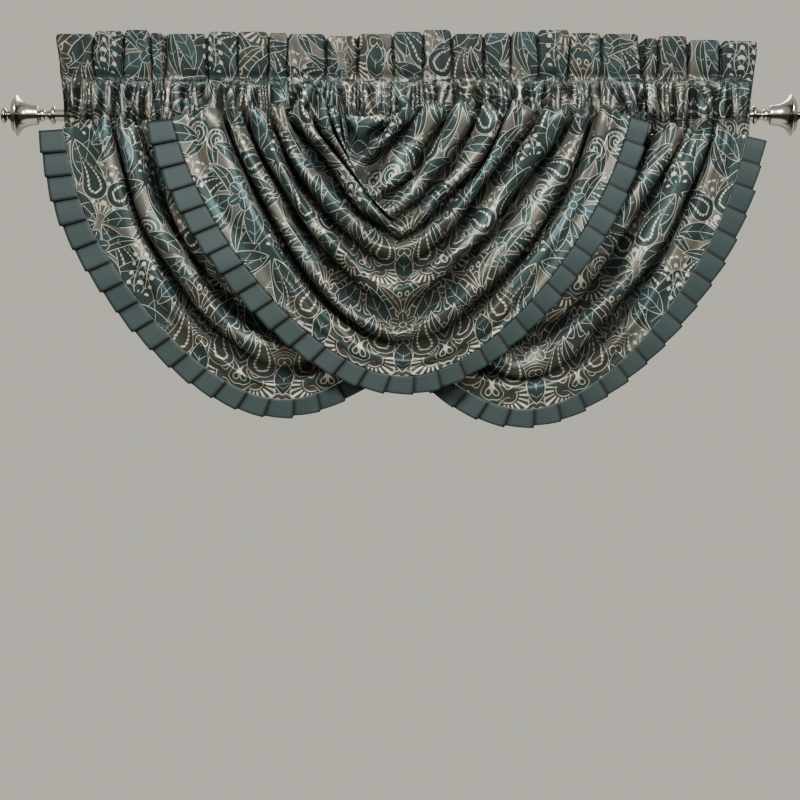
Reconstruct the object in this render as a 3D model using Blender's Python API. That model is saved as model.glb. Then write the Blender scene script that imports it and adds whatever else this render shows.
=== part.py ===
"""Three overlapping waterfall valances gathered on one round curtain rod with trumpet finials.

Metres, +Z up, front towards -Y. The origin is on the rod's axis, halfway along it. Each valance is
a heading band (a folded strip with the rod pocket in it), a swag of cloth that hangs in deep
U-shaped folds, and a knife-pleated edging along the swag's hem. The centre valance hangs in front
of the left and right ones.
"""

import math

import bmesh
import bpy
import numpy as np
from mathutils import Matrix

MM = 0.001

# Rod and finials
ROD_RADIUS = 14 * MM
ROD_HALF_LENGTH = 801 * MM
ROD_SIDES = 32
FINIAL_SIDES = 20
GAP = 0.3 * MM
JOINED = 0.01 * MM  # points of a turned piece nearer than this are one
SHARP_ANGLE = 40  # degrees; an edge that turns more than this stays sharp

# Cloth
CLOTH = 2.0 * MM  # a band's leaf
DRAPED = 2.6 * MM  # a swag, measured from front to back
EDGING = 2.4 * MM  # the edging, measured from front to back

# Heading band
POCKET_RADIUS = 16.8 * MM  # middle of the cloth that wraps the rod
LEAF_APART = 2.5 * MM  # from the band's middle to the middle of each leaf
WAIST_Z = 30 * MM  # the pocket narrows above the rod
STITCH_Z = 86 * MM  # the line of stitches under the stand-up heading
PUFF_FRONT = -11 * MM
PUFF_BACK = 6 * MM
PUFF_DIP = 7 * MM  # how far the top edge drops between two puffs
POCKET_FULL = 3.0 * MM  # how far the gathered pocket stands off the rod in a puff
POCKET_TURN = math.radians(45)  # where the pocket's section has its points under the rod
POCKET_FRONT_Z = 2 * MM  # the height of the section's foremost point
POCKET_OUT = 0.6  # how steeply the cloth faces down there
WAIST_SHARE = 0.62  # of the pocket's radius
WAIST_LEAF = 0.4  # and this much of the distance between the leaves
WAIST_OUT = 0.35  # how steeply the cloth faces up at the waist
SIDE_SWELL = 0.5  # how much of its fullness a side pocket has at the rod
BACK_STAND = 0.3  # how much of the fullness is on the back
STITCH_WAVE = 0.25  # how much of a puff's wave there is at the stitches
PUFF_FULL_Z = 24 * MM  # above the stitches, where a puff is full
TOP_ROUND = 6 * MM  # the top fold is this high
TOP_OUT = 0.2
PUFF_SIDE = 0.15  # the share of a puff over which its side turns back
GAP_FULL = 0.2  # how full the pocket is between two puffs
END_WAVE = 0.4  # how far a band's end waves forward, against a puff
END_DIP = 0.3

# Swag
SEAM_Y = -18.5 * MM  # where the centre swag is sewn to the front of its pocket
SEAM_Z = -2 * MM
SEAM_DROP = 6 * MM  # the seam sags this much towards each end
SEAM_REACH = 530 * MM  # from the middle to an end of the seam
SEAM_CLEAR = 0.8 * MM  # between a side swag and the low edge of its band
LEAN_FORWARD = 26 * MM  # how far the swag's middle stands in front of its seam
LEAN_DEPTH = 400 * MM
HIDDEN_ROLL = 4 * MM  # the height of the rolls that press together behind the centre
TUCK_NEAR = 60 * MM  # the side swags slip behind the centre's hem over this distance
SEAM_BLEND = 90 * MM
SWING_DROP = 250 * MM  # a side swag has swung out fully this far below its seam
ARM_HANDLE = 0.42  # the length of a fold's curve handle at the seam, as a share of its drop
ROLL_ROUND = 0.6  # less than 1 widens a roll and narrows the valleys beside it
BOTTOM_WIDTH = 0.15  # the share of a fold over which it changes from arm to bottom
SEAM_SOFT = 0.16  # the share of a fold over which its roll grows from the seam
SEAM_ROLL = 0.4  # the height of a roll at the seam, against the arms
SIDE_SEAM_ROLL = 0.35  # the same for the side swags
HEM_SAMPLES = 241

# One row for each fold of a swag, from the hem up to the seam, in mm. Each fold is a U: its left
# and right ends at the seam, how far each arm leans in for each mm of drop, its lowest point, how
# round it is there on each side, how much its sides rise there, and how far its roll stands
# forward in the arms and at the bottom.
FOLD_COLUMNS = (
    "left", "left_lean", "left_round", "low_x", "low_z", "right_round", "right", "right_lean",
    "rise", "arm_roll", "low_roll",
)
FOLDS = (
    (-532, 0.22, 207, 0, -600, 207, 518, 0.22, 0.00, 12, 6),
    (-444, 0.25, 172, -5, -565, 195, 465, 0.30, 0.00, 15, 7),
    (-396, 0.40, 127, -12, -500, 138, 416, 0.45, 0.00, 15, 8),
    (-336, 0.35, 115, -9, -402, 87, 347, 0.68, 0.10, 14, 9),
    (-292, 0.45, 104, -18, -319, 104, 262, 0.50, 0.20, 14, 10),
    (-242, 0.75, 41, -12, -270, 69, 216, 0.60, 0.60, 13, 11),
    (-198, 0.70, 32, -41, -224, 64, 129, 0.48, 0.50, 12, 11),
    (-168, 0.50, 28, -76, -190, 32, 74, 0.75, 0.70, 11, 10),
    (-146, 0.30, 18, -112, -121, 28, -5, 0.90, 0.70, 9, 8),
    (-126, 0.10, 8, -94, -5, 8, -55, 0.10, 0.00, 3, 3),
)
PLEATS_PER_COLUMN = {"left": 2, "centre": 1, "right": 2}  # how finely a swag follows its hem
HEM_PROFILE = ((0.0, 0.45), (0.4, 0.62), (0.7, 0.92), (1.0, 1.0))
FOLD_STEPS = (0.5, 0.76, 1.24)  # the valley and both shoulders of a roll

# The knife pleats of the edging: how wide it is from the left seam round to the right one, in mm.
PLEATS = 31
EDGING_WIDTHS = ((0.0, 60), (0.12, 62), (0.38, 48), (0.50, 38), (0.62, 40), (0.85, 52), (1.0, 56))
HEM_GAP = 0.9 * MM  # between the hem and its edging
PLEAT_RISE = 3.2 * MM
PLEAT_LAP = 4.5 * MM  # a pleat's lapping edge is this much longer
PLEAT_FOLD = 0.07  # of a pleat, hidden under the one before
HEM_STEP = 0.004  # the share of the hem over which its direction is measured

# Each valance: where its swag hangs from the middle of the rod, how far its lower part swings out,
# how much longer it hangs, and how deep it lies where it shows and where it is hidden, in mm.
VALANCES = {
    "left": dict(shift=-251, swing=-25, stretch=1.054, drop=-21, shown=-8, hidden=26, strip=25),
    "centre": dict(shift=0, swing=0, stretch=1.0, drop=0, shown=0, hidden=0, strip=0),
    "right": dict(shift=269, swing=8, stretch=1.060, drop=-40, shown=2, hidden=36, strip=34),
}
# One row for each puff of a heading: its right edge and the height of its top, in mm.
PUFFS = {
    "left": (-798, ((-712, 185), (-644, 192), (-580, 194), (-551, 187))),
    "centre": (-543, (
        (-451, 185), (-381, 190), (-313, 190), (-269, 187), (-181, 185), (-107, 180), (-23, 185),
        (43, 190), (110, 194), (184, 185), (244, 187), (309, 190), (378, 194), (454, 187),
        (538, 185),
    )),
    "right": (549, ((581, 175), (651, 180), (726, 171), (812, 169))),
}
POCKET_LOW_Y = {"left": -8 * MM, "centre": 0.0, "right": 0.0}
# The side bands leave the rod between these distances from the middle: first the pocket, and
# nearer the middle the heading.
POCKET_SLIP = (555 * MM, 578 * MM)
HEADING_SLIP = (540 * MM, 558 * MM)
# Each end that slopes between the top and the pocket: where it is and by how much, in mm.
SLOPED_ENDS = {"left": ((-798, 19),), "centre": ((-543, -9), (538, -9)), "right": ((812, 19),)}
END_REACH = 70 * MM
SLOPE_HEIGHT = 170 * MM  # a sloped end slopes below this height
SLIT_SIDES = 16
SLIT_CLEAR = 0.6 * MM  # between the rod and the edge of the slit
SLIT_BEFORE = 12 * MM  # the slit begins this far before the pocket's slip, and ends after it
SLIT_AFTER = 10 * MM
STRIP_JOIN = 2 * MM
STRIP_END = {"left": 283 * MM, "right": -269 * MM}
STRIP_COLUMNS = 8
STRIP_TOP = {"left": 180 * MM, "right": 165 * MM}

# Colours, roughness and metallic value
FINISHES = {
    "jacquard": ((0.25, 0.27, 0.24), 0.55, 0.0),
    "edging_cloth": ((0.08, 0.12, 0.12), 0.65, 0.0),
    "satin_nickel": ((0.55, 0.53, 0.50), 0.28, 1.0),
}


def clear_scene():
    for old in list(bpy.data.objects):
        bpy.data.objects.remove(old)


def finish(name, label):
    """The material of one sub-part."""
    colour, rough, metal = FINISHES[label]
    material = bpy.data.materials.new(f"{label}_{name}")
    material.use_nodes = True
    shader = material.node_tree.nodes["Principled BSDF"]
    shader.inputs["Base Color"].default_value = (*colour, 1)
    shader.inputs["Roughness"].default_value = rough
    shader.inputs["Metallic"].default_value = metal
    material.diffuse_color = (*colour, 1)
    return material


def add_object(name, work, label):
    """Makes a scene object from a bmesh, with its faces pointing out."""
    bmesh.ops.recalc_face_normals(work, faces=work.faces)
    mesh = bpy.data.meshes.new(name)
    work.to_mesh(mesh)
    work.free()
    piece = bpy.data.objects.new(name, mesh)
    bpy.context.collection.objects.link(piece)
    mesh.materials.append(finish(name, label))
    mesh.shade_smooth()
    mesh.set_sharp_from_angle(angle=math.radians(SHARP_ANGLE))
    return piece


def smooth(low, high, value):
    """Rises from 0 to 1 as value goes from low to high."""
    t = np.clip((np.asarray(value, float) - low) / (high - low), 0, 1)
    return t * t * (3 - 2 * t)


def grid_faces(work, rows):
    """Joins rows of vertices into quads."""
    for lower, upper in zip(rows, rows[1:]):
        for i in range(len(lower) - 1):
            work.faces.new((lower[i], lower[i + 1], upper[i + 1], upper[i]))


def extrude_back(work, thickness):
    """Gives a draped sheet its thickness by extruding it straight back."""
    made = bmesh.ops.extrude_face_region(work, geom=work.faces[:])
    back = [v for v in made["geom"] if isinstance(v, bmesh.types.BMVert)]
    bmesh.ops.translate(work, verts=back, vec=(0, thickness, 0))


def fold_row(level):
    """The fold table read at a level between its rows: 0 is the hem."""
    table = np.array(FOLDS, float)
    rows = np.arange(len(FOLDS))
    values = [np.interp(level, rows, table[:, i]) for i in range(len(FOLD_COLUMNS))]
    return dict(zip(FOLD_COLUMNS, values))


def seam_height(x):
    return SEAM_Z - SEAM_DROP * (x / SEAM_REACH) ** 2


def bezier(points, t):
    a, b, c, d = (np.array(p) for p in points)
    return a * (1 - t) ** 3 + 3 * b * t * (1 - t) ** 2 + 3 * c * t * t * (1 - t) + d * t**3


def arm(end_x, lean, round_x, row, t):
    """One arm of a U, from the seam to the lowest point, as (x, z) in metres."""
    low = np.array((row["low_x"], row["low_z"])) * MM
    top = np.array((end_x * MM, seam_height(end_x * MM)))
    side = math.copysign(1, low[0] - top[0])
    handle = ARM_HANDLE * (top[1] - low[1])
    first = top + handle * np.array((side * lean, -1))
    second = low + round_x * MM * np.array((-side, row["rise"]))
    return bezier((top, first, second, low), t)


def fold_point(level, along):
    """A point of the centre swag's front view: along runs from the left seam to the right."""
    row = fold_row(level)
    if along <= 0.5:
        return arm(row["left"], row["left_lean"], row["left_round"], row, 2 * along)
    return arm(row["right"], row["right_lean"], row["right_round"], row, 2 - 2 * along)


def roll(level):
    """How far a roll stands forward, from 0 in a valley to 1 on its crest."""
    if level <= 1:
        return float(np.interp(level, *zip(*HEM_PROFILE)))
    from_valley = abs((level - 0.5) - round(level - 0.5))
    return math.sin(math.pi * from_valley) ** ROLL_ROUND


def roll_height(level, along):
    """The height of the rolls: soft at the seam, full in the arms, low at the bottom."""
    row = fold_row(level)
    bottom = math.exp(-(((along - 0.5) / BOTTOM_WIDTH) ** 2))
    height = row["arm_roll"] * (1 - bottom) + row["low_roll"] * bottom
    near_seam = float(smooth(0, SEAM_SOFT, min(along, 1 - along)))
    return height * MM * (SEAM_ROLL + (1 - SEAM_ROLL) * near_seam)


HEM_SHARES = np.linspace(0, 1, HEM_SAMPLES)
HEM_LINE = np.array([fold_point(0, share) for share in HEM_SHARES])
HEM_RUN = np.concatenate(([0], np.cumsum(np.hypot(*np.diff(HEM_LINE, axis=0).T))))


def inside_centre(x, z):
    """How far a point lies inside the centre swag's hem line; less than 0 is outside."""
    near = float(np.hypot(HEM_LINE[:, 0] - x, HEM_LINE[:, 1] - z).min())
    hem_z = float(np.interp(x, HEM_LINE[:, 0], HEM_LINE[:, 1]))
    within = HEM_LINE[0, 0] < x < HEM_LINE[-1, 0] and z > hem_z
    return near if within else -near


def hung(side, x, z):
    """Moves a point of the centre's pattern to where this side's valance hangs."""
    place = VALANCES[side]
    swing = place["swing"] * MM * float(smooth(0, SWING_DROP, -z))
    return x + place["shift"] * MM + swing, z * place["stretch"] + place["drop"] * MM


def slipped(side, x, slip):
    """0 where a side band is on the rod, 1 where it lies behind the centre."""
    if side == "centre":
        return 0.0
    return 1 - float(smooth(*slip, -x if side == "left" else x))


def depth(side, x, z, fold_z, height, crest):
    """The y of a swag's front at a place of its front view."""
    place = VALANCES[side]
    if side == "centre":
        lean = LEAN_FORWARD * float(smooth(0, LEAN_DEPTH, SEAM_Z - z))
        return SEAM_Y - lean - height * crest - DRAPED / 2
    behind = float(smooth(-TUCK_NEAR, TUCK_NEAR, inside_centre(x, z)))
    draped = (place["shown"] * (1 - behind) + place["hidden"] * behind) * MM
    at_band = slipped(side, x, POCKET_SLIP)
    sewn = POCKET_LOW_Y[side] * (1 - at_band) + place["strip"] * MM * at_band
    below = float(smooth(0, SEAM_BLEND, -fold_z))
    base = sewn * (1 - below) + draped * below
    behind = max(behind, at_band * (1 - below))
    height = height * (1 - behind) + min(height, HIDDEN_ROLL) * behind
    stand = crest * (SIDE_SEAM_ROLL + (1 - SIDE_SEAM_ROLL) * below)
    return base - height * stand - DRAPED / 2


def swag_levels():
    """The levels of the fold table at which a swag has a row of points."""
    levels = [level for level, _ in HEM_PROFILE]
    for fold in range(1, len(FOLDS) - 1):
        levels += [fold + step for step in FOLD_STEPS if fold + step < len(FOLDS) - 1]
    return levels + [len(FOLDS) - 1]


def hem_stations(side):
    """The pleats, counted from the left seam, at which a swag has a column of points."""
    return sorted(set(range(0, PLEATS, PLEATS_PER_COLUMN[side])) | {PLEATS})


def hem_place(station):
    """Where a pleat begins, as a share of the way along a fold."""
    return float(np.interp(station / PLEATS, HEM_RUN / HEM_RUN[-1], HEM_SHARES))


def swag_point(side, level, along):
    x, z = fold_point(level, along)
    far_x, far_z = hung(side, x, z)
    y = depth(side, far_x, far_z, z, roll_height(level, along), roll(level))
    return far_x, y, far_z


def make_swag(side):
    """The gathered panel in its U-shaped folds."""
    work = bmesh.new()
    rows = []
    for level in swag_levels():
        points = [swag_point(side, level, hem_place(s)) for s in hem_stations(side)]
        rows.append([work.verts.new(p) for p in points])
    grid_faces(work, rows)
    extrude_back(work, DRAPED)
    return add_object(f"swag_{side}", work, "jacquard")


def make_edging(side):
    """The knife-pleated edging, as a stepped strip just outside the swag's own hem points."""
    work = bmesh.new()
    inner, outer = [], []
    stations = hem_stations(side)
    line = np.array([hung(side, *fold_point(0, hem_place(station))) for station in stations])
    place = VALANCES[side]

    def at(station, lap, lift):
        along = hem_place(station)
        here = np.array([np.interp(station, stations, line[:, axis]) for axis in (0, 1)])
        before = np.array(hung(side, *fold_point(0, max(0, along - HEM_STEP))))
        ahead = np.array(hung(side, *fold_point(0, min(1, along + HEM_STEP)))) - before
        out = np.array((ahead[1], -ahead[0])) / np.hypot(*ahead)
        width = float(np.interp(along, *zip(*EDGING_WIDTHS))) * MM + lap
        for offset, into in ((HEM_GAP, inner), (width, outer)):
            x, z = here + out * offset
            fold_z = min((z - place["drop"] * MM) / place["stretch"], SEAM_Z)
            y = depth(side, x, z, fold_z, roll_height(0, along), HEM_PROFILE[0][1])
            into.append(work.verts.new((x, y - lift, z)))

    for pleat in range(PLEATS):
        at(pleat + (0 if pleat == 0 else PLEAT_FOLD), 0, 0)
        at(pleat + 1, PLEAT_LAP, PLEAT_RISE)
    grid_faces(work, [inner, outer])
    extrude_back(work, EDGING)
    return add_object(f"edging_{side}", work, "edging_cloth")


def sloped_end(x, z, ends):
    """Slopes the ends of a band in, or out, from its top to its pocket."""
    for end, inset in ends:
        share = float(1 - smooth(0, END_REACH, abs(x - end * MM)))
        x -= math.copysign(inset * MM * share, end) * float(1 - smooth(0, SLOPE_HEIGHT, z))
    return x


def pocket_low(side, x):
    """The height of a band's low edge, just above the swag that is sewn to it."""
    if side == "centre":
        return -POCKET_RADIUS
    place = VALANCES[side]
    seam = seam_height(x - place["shift"] * MM) * place["stretch"] + place["drop"] * MM
    return seam + CLOTH / 2 + SEAM_CLEAR


def band_section(side, x, wave, full, top):
    """The closed section of a band, from its low edge up the front and down the back.

    Each entry is the cloth's middle and the direction that points out of the loop.
    """
    away = slipped(side, x, POCKET_SLIP)
    away_top = slipped(side, x, HEADING_SLIP)
    on_rod = 1 - away
    strip = VALANCES[side]["strip"] * MM
    stand = POCKET_FULL * full * on_rod
    radius = POCKET_RADIUS * on_rod + LEAF_APART * away
    waist = WAIST_SHARE * radius + WAIST_LEAF * LEAF_APART
    swell = 0.0 if side == "centre" else SIDE_SWELL * stand
    lift = wave * (1 - away_top)
    section = []

    def place(y, z, out_y, out_z, heading=False):
        size = math.hypot(out_y, out_z)
        y += strip * (away_top if heading else away)
        section.append(((y, z), (out_y / size, out_z / size)))

    round_y = math.cos(POCKET_TURN)
    round_z = -POCKET_RADIUS * math.sin(POCKET_TURN)
    full_z = STITCH_Z + PUFF_FULL_Z
    stitched = STITCH_WAVE * lift
    place(POCKET_LOW_Y[side] * on_rod, pocket_low(side, x), 0, -1)
    place(-(radius + swell) * round_y, round_z, -1, -POCKET_OUT)
    place(-(radius + swell), POCKET_FRONT_Z, -1, 0)
    place(-(waist + stand), WAIST_Z, -1, WAIST_OUT * on_rod)
    place(stitched - LEAF_APART, STITCH_Z, -1, 0, True)
    place(lift - LEAF_APART, full_z, -1, 0, True)
    place(lift - LEAF_APART, top - TOP_ROUND, -1, TOP_OUT, True)
    place(lift, top, 0, 1, True)
    place(lift + LEAF_APART, top - TOP_ROUND, 1, TOP_OUT, True)
    place(stitched + LEAF_APART, STITCH_Z, 1, 0, True)
    place(waist + BACK_STAND * stand, WAIST_Z, 1, WAIST_OUT * on_rod)
    place(radius, POCKET_FRONT_Z, 1, 0)
    place(radius * round_y, round_z, 1, -POCKET_OUT)
    return section


def band_columns(side):
    """Columns along a band: place, how far the heading waves, fullness and top."""
    start, puffs = PUFFS[side]
    columns = []
    left = start
    for i, (right, top) in enumerate(puffs):
        width = right - left
        edge = END_WAVE * PUFF_FRONT if i == 0 else PUFF_BACK
        dip = top * MM - PUFF_DIP * (END_DIP if i == 0 else 1)
        columns.append((left * MM, edge, GAP_FULL, dip))
        columns.append(((left + PUFF_SIDE * width) * MM, PUFF_FRONT, 1, top * MM))
        columns.append(((right - PUFF_SIDE * width) * MM, PUFF_FRONT, 1, top * MM))
        left = right
    last_top = puffs[-1][1] * MM - END_DIP * PUFF_DIP
    columns.append((left * MM, END_WAVE * PUFF_FRONT, GAP_FULL, last_top))
    if side == "centre":
        return columns
    # The rest of a side band lies flat behind the centre.
    sign = -1 if side == "left" else 1
    places = np.linspace(sign * (HEADING_SLIP[0] - STRIP_JOIN), STRIP_END[side], STRIP_COLUMNS)
    flat = [(float(x), 0, 0, STRIP_TOP[side]) for x in places]
    return columns + flat if side == "left" else flat[::-1] + columns


def make_band(side):
    """The heading and rod pocket: one folded strip, gathered on the rod."""
    work = bmesh.new()
    outside, inside = [], []
    ends = SLOPED_ENDS[side]
    for x, wave, full, top in band_columns(side):
        section = band_section(side, x, wave, full, top)
        for ring, shift in ((outside, CLOTH / 2), (inside, -CLOTH / 2)):
            ring.append([
                work.verts.new((sloped_end(x, z, ends), y + out_y * shift, z + out_z * shift))
                for (y, z), (out_y, out_z) in section
            ])
    for rings in (outside, inside):
        grid_faces(work, [ring + ring[:1] for ring in rings])
    for outer, inner in ((outside[0], inside[0]), (outside[-1], inside[-1])):
        grid_faces(work, [outer + outer[:1], inner + inner[:1]])
    band = add_object(f"band_{side}", work, "jacquard")
    if side != "centre":
        cut_slit(band, side)
    return band


def cut_slit(band, side):
    """The slit in a side band's front leaf through which the rod leaves the pocket."""
    sign = -1 if side == "left" else 1
    near = POCKET_SLIP[0] - SLIT_BEFORE
    length = POCKET_SLIP[1] + SLIT_AFTER - near
    work = bmesh.new()
    turn = Matrix.Rotation(math.radians(90), 4, "Y")
    bmesh.ops.create_cone(
        work, cap_ends=True, segments=SLIT_SIDES, radius1=ROD_RADIUS + SLIT_CLEAR,
        radius2=ROD_RADIUS + SLIT_CLEAR, depth=length, matrix=turn,
    )
    mesh = bpy.data.meshes.new(f"slit_cutter_{side}")
    work.to_mesh(mesh)
    work.free()
    cutter = bpy.data.objects.new(f"slit_cutter_{side}", mesh)
    bpy.context.collection.objects.link(cutter)
    cutter.location = (sign * (near + length / 2), 0, 0)
    cutter.hide_render = True
    cutter.display_type = "WIRE"
    cut = band.modifiers.new("rod slit", "BOOLEAN")
    cut.operation = "DIFFERENCE"
    cut.solver = "EXACT"
    cut.object = cutter


def make_rod():
    work = bmesh.new()
    turn = Matrix.Rotation(math.radians(90), 4, "Y")
    bmesh.ops.create_cone(
        work, cap_ends=True, segments=ROD_SIDES, radius1=ROD_RADIUS, radius2=ROD_RADIUS,
        depth=2 * ROD_HALF_LENGTH, matrix=turn,
    )
    return add_object("rod", work, "satin_nickel")


# The finial's turned profile: distance from its collar's face and radius, in mm.
FINIAL_PROFILE = (
    (0, 17), (3, 21.5), (8, 20), (16, 11), (22, 9.5), (25, 13), (30, 14.6), (35, 13), (37, 11),
    (39, 20), (42, 22.5), (60, 25), (72, 30), (80, 37), (85, 45), (88, 47.2), (92, 40),
    (98, 36), (104, 14), (110, 9), (115, 18), (121, 16), (126.7, 0),
)


def make_finial(name, sign):
    """A trumpet finial, turned about the rod's axis."""
    work = bmesh.new()
    start = ROD_HALF_LENGTH + GAP
    spine = [(start, 0.0)] + [(start + s * MM, r * MM) for s, r in FINIAL_PROFILE]
    verts = [work.verts.new((sign * x, 0, r)) for x, r in spine]
    edges = [work.edges.new(pair) for pair in zip(verts, verts[1:])]
    bmesh.ops.spin(
        work, geom=verts + edges, axis=(1, 0, 0), cent=(0, 0, 0), steps=FINIAL_SIDES,
        angle=2 * math.pi,
    )
    bmesh.ops.remove_doubles(work, verts=work.verts, dist=JOINED)
    return add_object(name, work, "satin_nickel")


def main():
    clear_scene()
    make_rod()
    make_finial("finial_left", -1)
    make_finial("finial_right", 1)
    for side in VALANCES:
        make_band(side)
        make_swag(side)
        make_edging(side)


main()
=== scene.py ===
# %% [markdown]
# # Waterfall valances on a curtain rod
#
# Three gathered valances hang on one round rod, the centre one in front of the left and right
# ones. Each has a ruffled heading with the rod pocket in it, a swag that falls in deep U-shaped
# folds, and a knife-pleated edging along its curved hem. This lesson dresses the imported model:
# every cloth piece is made again as a thin sheet on the same main folds, with the finer gathers,
# and each finish is a procedural material laid out in the cloth's own flat coordinates.

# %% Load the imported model
import math

import bpy
import bmesh
import numpy as np
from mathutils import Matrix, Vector


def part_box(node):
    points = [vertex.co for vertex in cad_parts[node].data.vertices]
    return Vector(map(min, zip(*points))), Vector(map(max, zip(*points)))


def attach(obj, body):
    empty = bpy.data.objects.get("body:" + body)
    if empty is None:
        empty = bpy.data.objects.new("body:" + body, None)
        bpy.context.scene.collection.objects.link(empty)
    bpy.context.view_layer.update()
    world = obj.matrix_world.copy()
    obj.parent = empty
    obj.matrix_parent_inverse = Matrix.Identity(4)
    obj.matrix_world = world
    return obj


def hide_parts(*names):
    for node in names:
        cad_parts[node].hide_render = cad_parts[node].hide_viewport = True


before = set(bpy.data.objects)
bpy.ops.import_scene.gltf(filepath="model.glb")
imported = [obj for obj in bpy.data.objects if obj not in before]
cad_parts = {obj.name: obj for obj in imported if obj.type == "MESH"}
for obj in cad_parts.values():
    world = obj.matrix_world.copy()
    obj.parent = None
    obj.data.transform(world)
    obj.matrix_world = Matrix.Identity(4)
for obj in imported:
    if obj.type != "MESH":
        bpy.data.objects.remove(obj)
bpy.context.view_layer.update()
MM = 0.001  # everything is in metres, so sizes in millimetres are written 5 * MM
print("nodes:", sorted(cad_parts))

# %% [markdown]
# ## The camera
#
# The valance is seen straight on. A long lens five metres away keeps the verticals parallel, and
# the camera looks along +Y at a point below the cloth, because the picture has room under it.

# %% Camera
VIEW_CENTRE = (-0.0092, -0.6546)  # X and Z of the middle of the picture
VIEW_WIDTH = 1.84
DISTANCE = 5.0
SENSOR = 36.0
lens_data = bpy.data.cameras.new("camera")
lens_data.sensor_width = SENSOR
lens_data.lens = SENSOR * DISTANCE / VIEW_WIDTH
camera = bpy.data.objects.new("camera", lens_data)
camera.location = (VIEW_CENTRE[0], -DISTANCE, VIEW_CENTRE[1])
camera.rotation_euler = (math.radians(90), 0, 0)
bpy.context.scene.collection.objects.link(camera)
bpy.context.scene.camera = camera
print("lens", round(lens_data.lens, 1), "mm")

# %% [markdown]
# ## Small helpers
#
# Cloth is easiest to make as a grid of points, one row beside the next. numpy works out all the
# points of a sheet at once, so a helper only has to turn the grid into a mesh, keep the cloth's
# flat coordinates as its UV map, and add the thickness with a Solidify modifier. Real cloth is
# never even, so a seeded noise of a few sine waves is used wherever a fold should stray a little.

# %% Noise and curve helpers
def smooth(low, high, value):
    """Rises from 0 to 1 as value goes from low to high."""
    t = np.clip((np.asarray(value, float) - low) / (high - low), 0, 1)
    return t * t * (3 - 2 * t)


def waves(seed, count=6):
    """Frequencies and phases of a smooth uneven line, always the same for a seed."""
    draw = np.random.default_rng(seed)
    return draw.uniform(0.6, 2.2, (count, 2)), draw.uniform(0, 2 * np.pi, (count, 2))


def uneven(seed, a, b=0.0):
    """Smooth noise of about -1 to 1 over one or two directions, a wave about each unit."""
    rates, phases = waves(seed)
    total = 0.0
    for (ra, rb), (pa, pb) in zip(rates, phases):
        bend = 1.7 * np.sin(rb * np.asarray(b) * 2 + pb)
        total = total + np.sin(2 * np.pi * ra * a * 0.5 + pa + bend)
    return total / 2.6


def spline(knots, values, at):
    """A smooth curve through a column of values."""
    knots = np.asarray(knots, float)
    values = np.asarray(values, float)
    at = np.clip(at, knots[0], knots[-1])
    i = np.clip(np.searchsorted(knots, at, side="right") - 1, 0, len(knots) - 2)
    slope = np.gradient(values, knots, axis=0)
    gap = knots[i + 1] - knots[i]
    t = (at - knots[i]) / gap
    h00 = (1 + 2 * t) * (1 - t) ** 2
    h10 = t * (1 - t) ** 2
    h01 = t * t * (3 - 2 * t)
    h11 = t * t * (t - 1)
    return h00 * values[i] + h10 * gap * slope[i] + h01 * values[i + 1] + h11 * gap * slope[i + 1]


print("three values of the noise:", np.round(uneven(1, np.arange(3)), 2))


# %% Cloth helpers
def cloth_piece(name, points, flat, material, thickness, drop=None, shades=None):
    """A sheet from a grid of points (rows, columns, 3) with flat coordinates (rows, columns, 2).
    Shades are named numbers for each point, which a material can read."""
    rows, columns = points.shape[:2]
    index = np.arange(rows * columns).reshape(rows, columns)
    quads = np.stack(
        (index[:-1, :-1], index[:-1, 1:], index[1:, 1:], index[1:, :-1]), axis=-1
    ).reshape(-1, 4)
    if drop is not None:
        middle = points.reshape(-1, 3)[quads].mean(axis=1)
        quads = quads[~drop(middle)]
    mesh = bpy.data.meshes.new(name)
    mesh.from_pydata(points.reshape(-1, 3).tolist(), [], quads.tolist())
    for label, values in (shades or {}).items():
        layer = mesh.attributes.new(label, "FLOAT", "POINT")
        layer.data.foreach_set("value", np.asarray(values, np.float32).ravel())
    layer = mesh.uv_layers.new(name="cloth")
    layer.data.foreach_set("uv", flat.reshape(-1, 2)[quads.reshape(-1)].astype(np.float32).ravel())
    mesh.materials.append(material)
    mesh.shade_smooth()
    piece = bpy.data.objects.new(name, mesh)
    bpy.context.scene.collection.objects.link(piece)
    work = bmesh.new()
    work.from_mesh(mesh)
    loose = [v for v in work.verts if not v.link_faces]
    bmesh.ops.delete(work, geom=loose, context="VERTS")
    work.to_mesh(mesh)
    work.free()
    solid = piece.modifiers.new("thickness", "SOLIDIFY")
    solid.thickness = thickness
    solid.offset = 0
    return piece


def cloth_area(points):
    """The area of a grid of points, in square metres."""
    a, b, c, d = points[:-1, :-1], points[:-1, 1:], points[1:, 1:], points[1:, :-1]
    return float(np.linalg.norm(np.cross(c - a, d - b), axis=-1).sum() / 2)


print("cloth helpers ready")

# %% [markdown]
# ## The folds of a swag
#
# A waterfall swag is a panel whose two sides are gathered up into the seam, so each fold hangs
# from its left end, through a lowest point, to its right end. Drawing every fold as its own curve
# would be slow. Instead a short table describes each fold as a U, and the cloth between two
# folds is read from between their rows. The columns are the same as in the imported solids.

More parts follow.
